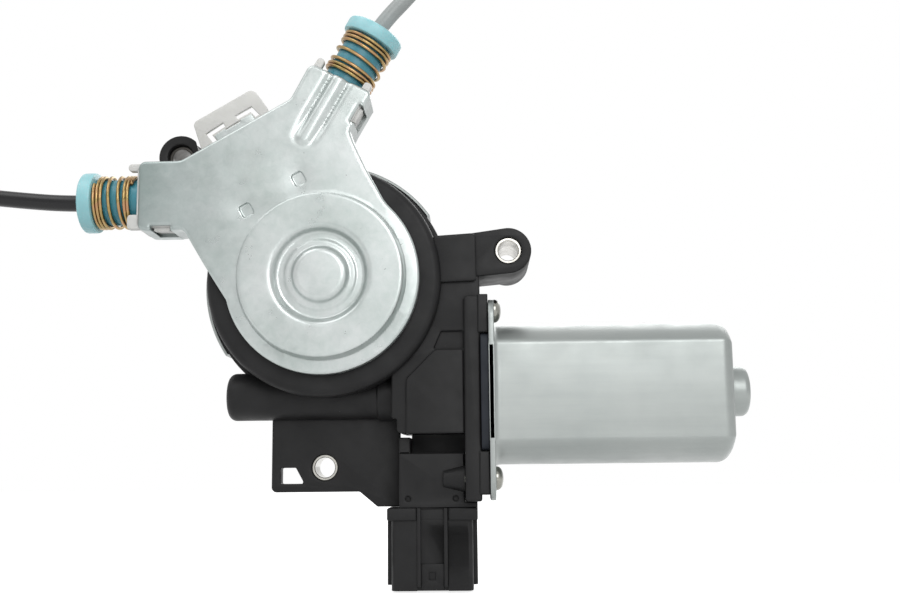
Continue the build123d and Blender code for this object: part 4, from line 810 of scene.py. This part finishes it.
def flange_screws():
    m = Build()
    seat, top = FLANGE_RIGHT, FLANGE_RIGHT + SCREW_RISE
    head = [(SHANK_LEFT, 0), (SHANK_LEFT, SHANK_R), (seat, SHANK_R), (seat, 3.5), (seat + 0.15, SCREW_R)]
    for c, s in (polar(1, 90 * i / 8) for i in range(8)):
        head.append((seat + 0.3 + (SCREW_RISE - 0.3) * s, SCREW_R * c**0.8))
    head += [(top, 0.7), (top - SOCKET_DEPTH, SOCKET_R), (top - SOCKET_DEPTH, 0)]
    for z in SCREW_ZS:
        revolve(m, head, (world(0, z, SCREW_H), *MOTOR_FRAME[1:]), 40)
    m.done("flange_screw_heads", ["bright"], ROOT, "zinc_screws", "flange_screws")


def gasket():
    m = Build()
    plate = rounded(box(-GASKET_HALF, GASKET_HALF, GASKET_LOW - MOTOR_Z, GASKET_TOP - MOTOR_Z), 3.0, step=12)
    hole = circle(0, 0, GASKET_HOLE_R)
    slab(m, [plate, hole], GASKET_LEFT, FLANGE_LEFT, edge=0.3, rear=0.3, place=motor_place)
    m.done("gasket_shell", ["gasket"], ROOT, "gasket_grey", "flange_gasket")


# --- Connector module ---

LID_LEFT, LID_RIGHT, LID_LOW, LID_TOP, LID_FRONT = 25.3, 43.0, -47.9, -22.2, 26.0
PLATE_LEFT, PLATE_TOP, PLATE_LOW, PLATE_REAR, PLATE_FRONT = 22.8, -53.7, -70.6, 2.0, 21.0
HOLE_XS, HOLE_Z, HOLE_R, HOLE_DEPTH = (25.6, 40.2), -67.5, 0.8, 1.2
COLLAR_LEFT, COLLAR_RIGHT, COLLAR_TOP = 19.1, 46.8, -70.3
SHELL_LEFT, SHELL_RIGHT, SHELL_TOP, SHELL_LOW, SHELL_REAR, SHELL_FRONT = 20.4, 45.3, -74.0, -95.0, 5.0, 21.0
SHELL_WALL, SOCKET_HEIGHT = 1.8, 17.0
PANEL_LEFT, PANEL_RIGHT, PANEL_TOP, PANEL_RECESS = 28.4, 37.6, -87.0, 0.9
PANEL_WINDOW = box(31.8, 33.8, -91.8, -89.5)


def below_place(x, h, z):
    """A section seen along z: x and h in the section, z along."""
    return world(x, z, h)


def connector_lid(m):
    """The lid over the motor end, and the plate below it."""
    lid = [(LID_LEFT, LID_LOW), (LID_LEFT, -31.1), (34.2, LID_TOP)]
    lid += [(LID_RIGHT, LID_TOP), (LID_RIGHT, LID_LOW)]
    slab(m, [rounded(lid, [0.6, 2.2, 2.2, 0.8, 0.6])], BODY_FRONT - 0.3, LID_FRONT, edge=0.6)
    low = PLATE_TOP - 0.1
    post = rounded([(PLATE_LEFT, -48.9), (PLATE_LEFT, low), (26.3, low), (26.3, -48.9)], [0.3, 0.1, 0.1, 0.3])
    slab(m, [post], PLATE_REAR, PLATE_FRONT, edge=0.4)
    web = [(26.2, LID_LOW + 0.1), (26.2, PLATE_TOP), (LID_RIGHT, PLATE_TOP), (LID_RIGHT, LID_LOW + 0.1)]
    slab(m, [web], PLATE_REAR, 10, edge=0, rear=0.3)
    plate = [(PLATE_LEFT, PLATE_TOP), (LID_RIGHT, PLATE_TOP), (LID_RIGHT, -68.5), (COLLAR_RIGHT, -68.5)]
    plate += [(COLLAR_RIGHT, PLATE_LOW), (PLATE_LEFT, PLATE_LOW)]
    plate = rounded(plate, [0.5, 0.2, 0.1, 0.5, 0.1, 0.5])
    holes = [circle(x, HOLE_Z, HOLE_R, 20) for x in HOLE_XS]
    slab(m, [plate], PLATE_REAR, PLATE_FRONT - HOLE_DEPTH, edge=0)
    slab(m, [plate] + holes, PLATE_FRONT - HOLE_DEPTH - 0.1, PLATE_FRONT, edge=0.5, rear=0)


def plug_shell(m):
    """The collar, in two halves at the front, and the shell with a panel between two rails."""
    def below(loops, low, high, edge, rear):
        slab(m, loops, low, high, edge, rear, below_place)

    left, right, wall = SHELL_LEFT, SHELL_RIGHT, SHELL_WALL
    one, two = PANEL_LEFT, PANEL_RIGHT
    rear, front, recessed = SHELL_REAR, SHELL_FRONT, SHELL_FRONT - PANEL_RECESS
    collar = [rounded(box(COLLAR_LEFT, COLLAR_RIGHT, 4.1, 20.2), 1.4)]
    for a, b in ((COLLAR_LEFT, one - 0.2), (two + 0.2, COLLAR_RIGHT)):
        collar.append(rounded(box(a, b, 18.5, 21.9), 0.9))
    for outline in collar:
        below([outline], SHELL_TOP, COLLAR_TOP, 0.4, 0.4)
    outer = [(left, rear), (right, rear), (right, front), (two, front), (two, recessed), (one, recessed)]
    outer = rounded(outer + [(one, front), (left, front)], [1.6, 1.6, 1.6, 0.3, 0.2, 0.2, 0.3, 1.6])
    inner = rounded(box(left + wall, right - wall, rear + wall, front - wall), 0.8)
    socket_end = SHELL_LOW + SOCKET_HEIGHT
    below([outer, inner], SHELL_LOW, socket_end, 0, 0.4)
    below([outer], socket_end, SHELL_TOP + 0.2, 0, 0)
    for a, b in ((one - 0.2, one + 1.0), (two - 1.2, two)):
        rail = rounded(box(a, b, SHELL_LOW + 1.2, COLLAR_TOP), 0.3)
        slab(m, [rail], front - 1.2, front + 0.5, edge=0.25)
    panel = box(one + 1.0, two - 1.2, SHELL_LOW + 0.3, PANEL_TOP)
    slab(m, [panel, rounded(PANEL_WINDOW, 0.2)], front - 1.3, front - 0.5, edge=0.2, rear=0)
    for a, b in ((left - 1.5, left + 0.3), (right - 0.3, right + 1.3)):
        below([rounded(box(a, b, 8, 16), 0.3)], SHELL_LOW + 1.4, SHELL_TOP, 0, 0.3)


def module():
    m = Build()
    connector_lid(m)
    plug_shell(m)
    # Tapered boss of the lower flange screw
    boss = [(36.3, 0), (36.3, 2.4), (36.5, 2.7), (LID_RIGHT, 4.2), (LID_RIGHT, 0)]
    revolve(m, boss, (world(0, SCREW_ZS[1], SCREW_H), *MOTOR_FRAME[1:]), 40)
    m.done("module_shell", ["black"], ROOT, "black_housing", "connector_module")


# --- Drum housing ---

CUP_R, CUP_BORE_R, CUP_WALL, CUP_FLOOR, CUP_H, CUP_TOP = 28.7, 7.8, 1.5, 1.4, 19.3, 30.8
ARM_HALF, ARM_END, ARM_REAR, BORE_START, BORE_R = 9.7, 57.8, 15.2, 38.5, 7.45
# Where the stops beside each plug lie, along and across the arm
KNOB_FROM, KNOB_TO = 54.5, 60.7
KNOBS = {"left": ((8.2, 10.6), (-10.3, -5.6)), "upper": ((7.4, 9.9), (-9.7, -7.0))}
# The cover's flanges beside the plugs, and the windows in them
FLANGE_OUT, FLANGE_DEEP, FLANGE_FROM, FLANGE_TO = 10.9, 17.0, 43.0, 56.6
WINDOW_FROM, WINDOW_TO, WINDOW_LOW, WINDOW_REACH = 46.9, 52.9, 20.8, 1.6
# The free edge of the web runs from one arm to the other
WEB_LEFT = cable_point("left", 44, ARM_HALF)
WEB_UPPER = cable_point("upper", 46, ARM_HALF)
EDGE = (Vector(WEB_UPPER) - Vector(WEB_LEFT)).normalized()
# The latch tab and its slots, as points along that edge and out from it
TAB = [(7.9, -6), (7.5, 4.2), (9.4, 12.2), (10.6, 12.9), (30.6, 12.4), (31.8, 10.8), (32.3, 4.4), (30.5, -6)]
TAB_RADII = [0.3, 0.8, 0.9, 0.9, 1.2, 1.0, 1.0, 0.3]
TAB_SLOTS = [
    [(11.7, 3.8), (11.3, 7.5), (17.7, 7.7), (17.7, 6.3), (12.8, 6.1), (13.1, 3.8)],
    [(22.4, 7.6), (28.2, 7.4), (29.0, 3.8), (27.6, 3.8), (27.1, 6.0), (22.4, 6.2)],
    [(17.5, 4.4), (17.5, 5.5), (22.7, 5.4), (22.7, 4.3)],
]
TAB_FRONT, TAB_THICK = 24.1, 1.4


def arm_section_place(side):
    """Places a section (across, h) at s along an arm."""
    return lambda across, h, s: world(*cable_point(side, s, across), h)


def arm_place(side):
    """Places a front outline (s, across) at a height."""
    return lambda s, across, h: world(*cable_point(side, s, across), h)


def edge_point(s, out):
    return WEB_LEFT[0] + EDGE.x * s - EDGE.y * out, WEB_LEFT[1] + EDGE.y * s + EDGE.x * out


def cup(m):
    inner = CUP_R - CUP_WALL
    wall = [(CUP_H, CUP_BORE_R), (CUP_H, CUP_R - 0.5), (CUP_H + 0.5, CUP_R), (CUP_TOP - 0.2, CUP_R)]
    wall += [(CUP_TOP, CUP_R - 0.2), (CUP_TOP, inner)]
    wall += [(CUP_H + CUP_FLOOR, inner), (CUP_H + CUP_FLOOR, CUP_BORE_R)]
    revolve(m, wall, DRUM_FRAME, 120)


def drum_arm(m, side):
    """An arm with its bore, the stops beside its plug, and the hook in the window of the cover's flange."""
    root = [(22.5, -ARM_HALF), (BORE_START, -ARM_HALF), (BORE_START, ARM_HALF), (8, ARM_HALF), (8, 3)]
    slab(m, [root], CUP_H, CUP_TOP, edge=0.2, place=arm_place(side))
    section = rounded(box(-ARM_HALF, ARM_HALF, ARM_REAR, CUP_TOP), 0.8)
    bore = circle(0, CABLE_H, BORE_R, 360 / 64)
    slab(m, [section, bore], BORE_START, ARM_END, edge=0.3, rear=0, place=arm_section_place(side))
    for a, b in KNOBS[side]:
        knob = rounded(box(KNOB_FROM, KNOB_TO, a, b), 1.1)
        slab(m, [knob], CUP_TOP - 2.2, CUP_TOP, edge=0.4, place=arm_place(side))
    foot, tip, low = -ARM_HALF, -FLANGE_OUT + 0.2, WINDOW_LOW + 0.4
    hook = [(foot + 1, low), (foot, low), (tip, 28.3), (tip, 29.8), (foot + 1, 29.8)]
    slab(m, [hook], WINDOW_FROM + 0.5, WINDOW_TO - 0.5, edge=0.2, place=arm_section_place(side))


def web_and_tab(m):
    """The web between the arms, and the latch tab with its slots."""
    web = [WEB_LEFT, cable_point("left", 30, 5)] + [polar(CUP_R - 1, a) for a in (150, 120, 90)]
    web += [cable_point("upper", 30, 5), WEB_UPPER]
    slab(m, [web], CUP_H, CUP_H + 2.4, edge=0.3)
    slots = [[edge_point(*p) for p in slot] for slot in TAB_SLOTS]
    tab = rounded([edge_point(*p) for p in TAB], TAB_RADII)
    slab(m, [tab, *slots], TAB_FRONT - TAB_THICK, TAB_FRONT, edge=0.35, rear=0.3)


def nylon():
    m = Build()
    cup(m)
    for side in SIDES:
        drum_arm(m, side)
    web_and_tab(m)
    m.done("nylon_shell", ["nylon"], ROOT, "white_nylon", "drum_housing")


# --- Drum cover: stamped sheet ---

COVER_H, SHEET, COVER_R, COVER_EDGE = 32.0, 1.2, 30.0, 1.0
RIM, WINDOW_RIM = 3.2, 2.0  # how far the rim is folded down, and at a window
COVER_FROM, COVER_TO = 360 + math.degrees(math.atan2(-7.0, -29.3)), 405.0
COVER_LEFT = [(-57.3, 37.1), (-57.0, 15.2), (-43.0, 15.6), (-36.3, 4.3), (-30.9, -4.2)]
COVER_LEFT_RADII = [2.2, 2.2, 0.2, 0.4, 0.4, 0.2, 3.5, 14, 0]
COVER_UPPER = [(19.5, 23.1), (13.7, 33.7), (9.7, 42.4), (8.6, 45.5), (15.6, 58.1), (-3.9, 68.3)]
COVER_UPPER += [(-10.1, 56.6), (-44.2, 37.2)]
COVER_UPPER_RADII = [0, 8, 6, 3, 2.0, 0.2, 0.4, 0.4, 0.2, 1.8, 2.5, 3.0, 4.0, 2.2, 0]
# Radius and rise of the raised disc, the round trough and the low dome
MIDDLE = [(0, 4.4), (7.0, 4.3), (7.9, 3.95), (8.6, 2.8), (9.1, 2.4), (10.6, 2.35), (11.1, 1.85), (13.1, 1.8)]
MIDDLE += [(13.7, 2.2), (14.3, 3.35), (15.0, 4.05), (15.8, 4.2), (24.5, 4.25), (25.0, 4.15), (25.3, 3.7)]
MIDDLE += [(25.7, 0.6), (26.1, 0.0), (60, 0.0)]
RIB_FROM, RIB_RISE, GROOVE_DEPTH = 35.2, 0.6, 1.0
DIMPLES, DIMPLE_TURN, DIMPLE_DEPTH, DISH_DEPTH = ((-23.3, 21.0), (-7.2, 30.7)), 28, 0.75, 0.3
# First radius, last radius and step of the rings of points in the middle, and the grid elsewhere
POINT_RINGS = [(0.8, 6.8, 0.7), (7.0, 15.8, 0.3), (16.2, 24.0, 0.7), (24.0, 26.7, 0.3)]
GRID_FROM, GRID_STEP, PATCH_FROM, PATCH_STEP, PATCH_HALF = 27.1, 0.55, 26.9, 0.2, 3.4
# The tongue, as points along the free edge of the web and out from it
TONGUE = [(13.3, -1.2), (13.3, 4.9), (17.2, 5.1), (17.6, 4.5), (22.6, 4.4), (23.0, 5.0), (27.0, 4.8)]
TONGUE += [(27.5, -1.2)]


def densify(loop, step):
    """The loop with every side cut into pieces no longer than step."""
    out = []
    for a, b in zip(loop, loop[1:] + loop[:1]):
        n = max(1, math.ceil(math.dist(a, b) / step))
        out += [(a[0] + (b[0] - a[0]) * i / n, a[1] + (b[1] - a[1]) * i / n) for i in range(n)]
    return out


def smooth_step(x, a, b):
    t = np.clip((x - a) / (b - a), 0, 1)
    return t * t * (3 - 2 * t)


def turned(p, x, z, angle):
    """The points seen from (x, z), on axes turned by the angle."""
    c, s = polar(1, angle)
    return (p[:, 0] - x) * c + (p[:, 1] - z) * s, -(p[:, 0] - x) * s + (p[:, 1] - z) * c


def cover_rise(p):
    """How far the stamping stands in front of the sheet's plane at each point (x, z)."""
    rise = np.interp(np.hypot(p[:, 0], p[:, 1]), *zip(*MIDDLE))
    # Rib down the upper arm, between two shallow grooves that fade towards the drum
    s, d = turned(p, *cable_point("upper", 0, 0.45), ARM_ANGLE["upper"])
    d = np.hypot(d, np.maximum(0, RIB_FROM - s))
    grooves = smooth_step(s, 31, 44) * np.exp(-((d - 3.0) / 0.95) ** 2)
    rise += RIB_RISE * (1 - smooth_step(d, 1.0, 2.4)) - GROOVE_DEPTH * grooves
    # Two square dimples that clinch the sheet, each in a soft dish
    for x, z in DIMPLES:
        u, v = turned(p, x, z, DIMPLE_TURN)
        square = ((u / 1.9) ** 4 + (v / 2.1) ** 4) ** 0.25
        rise -= DIMPLE_DEPTH * (1 - smooth_step(square, 0.9, 1.08))
        rise -= DISH_DEPTH * np.exp(-(u * u + v * v) / 22)
    return rise


def inside_loop(p, loop):
    """Which points lie inside the loop."""
    hit = np.zeros(len(p), bool)
    for (x0, z0), (x1, z1) in zip(loop, loop[1:] + loop[:1]):
        if z0 != z1:
            spans = (z0 > p[:, 1]) != (z1 > p[:, 1])
            hit ^= spans & (p[:, 0] < x0 + (p[:, 1] - z0) * (x1 - x0) / (z1 - z0))
    return hit


def cover_loop():
    """The cover's outline, with the windows of the two flanges as notches."""
    out, deep = -FLANGE_OUT, -FLANGE_OUT + WINDOW_REACH
    notch = [(WINDOW_TO, out), (WINDOW_TO, deep), (WINDOW_FROM, deep), (WINDOW_FROM, out)]
    left = COVER_LEFT[:2] + [cable_point("left", *p) for p in notch] + COVER_LEFT[2:]
    left = rounded(left, COVER_LEFT_RADII, closed=False)
    upper = [polar(COVER_R, COVER_TO)] + COVER_UPPER[:4] + [cable_point("upper", *p) for p in reversed(notch)]
    upper = rounded(upper + COVER_UPPER[4:] + COVER_LEFT[:2], COVER_UPPER_RADII, closed=False)
    loop = densify(left[1:-1] + arc(0, 0, COVER_R, COVER_FROM, COVER_TO, 2.5) + upper[1:-1], 0.9)
    return loop if area(loop) > 0 else loop[::-1]


def rim_depth(loop):
    """How far the rim is folded down at each point: a flange beside each plug, and hardly at a window."""
    p = np.array(loop)
    depth = np.full(len(loop), RIM)
    for side in SIDES:
        s, d = turned(p, *cable_point(side, 0), ARM_ANGLE[side])
        out = d * ARM_TURN[side]
        depth[(s > FLANGE_FROM) & (s < FLANGE_TO) & (out < -6)] = COVER_H - FLANGE_DEEP
        beside = (s > WINDOW_FROM - 0.05) & (s < WINDOW_TO + 0.05)
        depth[beside & (out < -6) & (out > -FLANGE_OUT + 0.3)] = WINDOW_RIM
    return depth


def grid_points(xs, zs):
    return np.stack([q.ravel() for q in np.meshgrid(xs, zs)], 1)


def cover_points(loop):
    """Points inside the loop: rings about the axis, finer patches at the dimples, and a grid elsewhere."""
    inside = [(0.0, 0.0)]
    for first, last, step in POINT_RINGS:
        for r in np.arange(first, last, step):
            inside += circle(0, 0, r, 360 / max(10, int(2 * math.pi * r / 0.8)))
    grid = grid_points(np.arange(-58, 20, GRID_STEP), np.arange(-8, 70, GRID_STEP))
    grid = grid[np.hypot(grid[:, 0], grid[:, 1]) > GRID_FROM]
    steps = np.arange(-PATCH_HALF, PATCH_HALF + 0.01, PATCH_STEP)
    u, v = turned(grid_points(steps, steps), 0, 0, -DIMPLE_TURN)
    for x, z in DIMPLES:
        across, up = turned(grid, x, z, DIMPLE_TURN)
        grid = grid[(np.abs(across) > PATCH_HALF + PATCH_STEP) | (np.abs(up) > PATCH_HALF + PATCH_STEP)]
        patch = np.stack([x + u, z + v], 1)
        grid = np.concatenate([grid, patch[np.hypot(patch[:, 0], patch[:, 1]) > PATCH_FROM]])
    return inside + [tuple(q) for q in grid[inside_loop(grid, loop)]]


def cover_sheet(m):
    """Front and rear skins that follow the stamping, joined by the rolled edge and the rim."""
    loop = cover_loop()
    n = len(loop)
    points = [Vector(q) for q in offset(loop, COVER_EDGE) + cover_points(offset(loop, COVER_EDGE + 0.35))]
    edges = [(i, (i + 1) % n) for i in range(n)]
    flat, _, faces, *_ = delaunay_2d_cdt(points, edges, [], 1, 1e-5)
    flat = np.array([tuple(q) for q in flat])
    rise = cover_rise(flat)
    count = len(flat)
    verts = [world(x, z, COVER_H + up) for (x, z), up in zip(flat, rise)]
    verts += [world(x, z, COVER_H + up - SHEET) for (x, z), up in zip(flat, rise)]
    shell = [list(f) for f in faces] + [[count + i for i in reversed(f)] for f in faces]
    # Rows round the edge and the rim: inset, drop, and whether the drop counts from the rim's lower edge
    rows = [(inset, drop, 0) for inset, drop in quarter(COVER_EDGE, 5)[1:]]
    rows += [(0, -0.2, 1), (0.2, 0, 1), (SHEET - 0.2, 0, 1), (SHEET, -0.2, 1), (SHEET, SHEET + 0.3, 0)]
    first = len(verts)
    last = first + (len(rows) - 1) * n
    depths = rim_depth(loop)
    for inset, drop, low in rows:
        for (x, z), up, depth in zip(offset(loop, inset), rise[:n], depths):
            verts.append(world(x, z, COVER_H + up * (1 - low) - drop - depth * low))
    for i in range(n):
        j = (i + 1) % n
        shell.append([i, j, first + j, first + i])
        for row in range(first, last, n):
            shell.append([row + i, row + j, row + n + j, row + n + i])
        shell.append([last + i, last + j, count + j, count + i])
    m.add(verts, shell)


def cover():
    m = Build()
    cover_sheet(m)
    # Foot of each flange under its window
    foot = box(-FLANGE_OUT, -FLANGE_OUT + SHEET, FLANGE_DEEP, WINDOW_LOW)
    for side in SIDES:
        slab(m, [foot], WINDOW_FROM - 0.4, WINDOW_TO + 0.4, edge=0, rear=0, place=arm_section_place(side))
    # Tongue over the tab of the drum housing
    rear = TAB_FRONT + 0.3
    slab(m, [rounded([edge_point(*q) for q in TONGUE], 0.3)], rear, rear + SHEET, edge=0.3)
    riser = box(TONGUE[0][0], TONGUE[-1][0], TONGUE[0][1], 0.2)
    slab(m, [[edge_point(*q) for q in riser]], rear, COVER_H - 1.0, edge=0)
    m.done("cover_shell", ["cover"], ROOT, "cover_steel", "drum_cover", sharp=50)


# --- Plugs and their springs ---

PLUG_R, FLANGE_R, PLUG_INNER, PLUG_TRAVEL = 7.2, 9.5, 45.0, 5.0
PLUG_SEAT = {"left": 72.2, "upper": 74.4}
PLUG_OUTER = {"left": 76.6, "upper": 78.9}
SPRING_R, WIRE_R, SPRING_FOOT, SPRING_TURNS, TURN_STEPS = 8.0, 0.55, 59.3, 7, 60
SPRING_START = {"left": 0.6, "upper": 2.4}  # where the wire starts round the cable's line, in radians
# Turn and share of the length: close together at each end, with open turns between
SPRING_PITCH = [(0, 0), (2.3, 0.2), (2.7, 0.27), (4.4, 0.72), (4.8, 0.79), (7, 1)]


def plug(side):
    """One blue plastic: the body in the arm's bore is a darker teal as painted shade, and the blue flange is
    outside it.
    """
    m = Build()
    inner, seat, outer = PLUG_INNER, PLUG_SEAT[side], PLUG_OUTER[side]
    body = [(inner, 1.0), (inner, PLUG_R - 0.8), (inner + 0.8, PLUG_R)]
    body += [(seat + 0.3, PLUG_R), (seat + 0.3, 1.0)]
    m.slot = 1
    revolve(m, body, cable_frame(side), 72)
    end = [(seat, 2.7), (seat, FLANGE_R - 0.5), (seat + 0.15, FLANGE_R - 0.15), (seat + 0.5, FLANGE_R)]
    end += [(outer - 1.0, FLANGE_R), (outer - 0.5, FLANGE_R - 0.15), (outer - 0.12, FLANGE_R - 0.6)]
    end += [(outer, FLANGE_R - 1.2), (outer, 3.2), (outer - 0.3, 2.7)]
    m.slot = 0
    revolve(m, end, cable_frame(side), 96)
    looks = ["flange_blue", "body_teal_painted_shade"]
    m.done(f"plug_{side}_shell", looks, f"plug_{side}", "blue_plug", f"cable_plug_{side}")


def spring(side):
    m = Build()
    origin, along, u, v = cable_frame(side)
    start, far = SPRING_FOOT + WIRE_R, PLUG_SEAT[side] - WIRE_R - 0.05
    points = []
    for i in range(SPRING_TURNS * TURN_STEPS + 1):
        turn = i / TURN_STEPS
        s = start + (far - start) * float(np.interp(turn, *zip(*SPRING_PITCH)))
        a = 2 * math.pi * turn + SPRING_START[side]
        ray = u * math.cos(a) + v * math.sin(a)
        points.append(origin + along * (s * MM) + ray * (SPRING_R * MM))
    tube(m, points, WIRE_R * MM, 14)
    piece = m.done(f"spring_{side}", ["gold"], ROOT, "gold_zinc", f"plug_spring_{side}")
    tuple(along)
    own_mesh(piece)


# --- CAD pieces that keep their shape ---

KEPT = {
    "bright": ["gear_cover_screws"],
    "bronze": ["shaft_bush", "end_bush", "middle_bush", "rear_bush"],
    "rubber": ["shaft_seal", "damper"],
    "steel": ["thrust_pad", "brush_springs", "drive_plate", "output_shaft", "worm_shaft", "armature_core"],
    "ferrite": ["magnets", "brushes"],
    "card": ["brush_card"],
    "tin": ["connector_blades"],
    "acetal": ["cable_drum", "worm_wheel"],
    "copper": ["windings", "commutator"],
    "strand": ["drum_cable", "inner_cable_left", "inner_cable_upper", "cable_end_left", "cable_end_upper"],
}


def dress_kept():
    for look, nodes in KEPT.items():
        for node in nodes:
            for slot in frame["nodes"][node].material_slots:
                slot.material = LOOK[look]


# --- Scene ---

camera()
for side in SIDES:
    jacket = conduit(side)
    fitting = end_fitting(side)
    leaves_at = tuple(world(*cable_point(side, PLUG_OUTER[side]), CABLE_H))
    plug(side)
    spring(side)
housing()
sleeve("sleeve_lower", LOW_LUG)
sleeve("sleeve_left", LEFT_LUG, "sleeve_dull", 2.0)
sleeve("sleeve_right", RIGHT_LUG)
rear_lid()
can()
flange_screws()
gasket()
module()
nylon()
cover()
dress_kept()

floor()
world_light()
for name, place, size, power in LAMPS:
    lamp(name, place, size, power)

scene = bpy.context.scene
scene.view_settings.view_transform = "Standard"
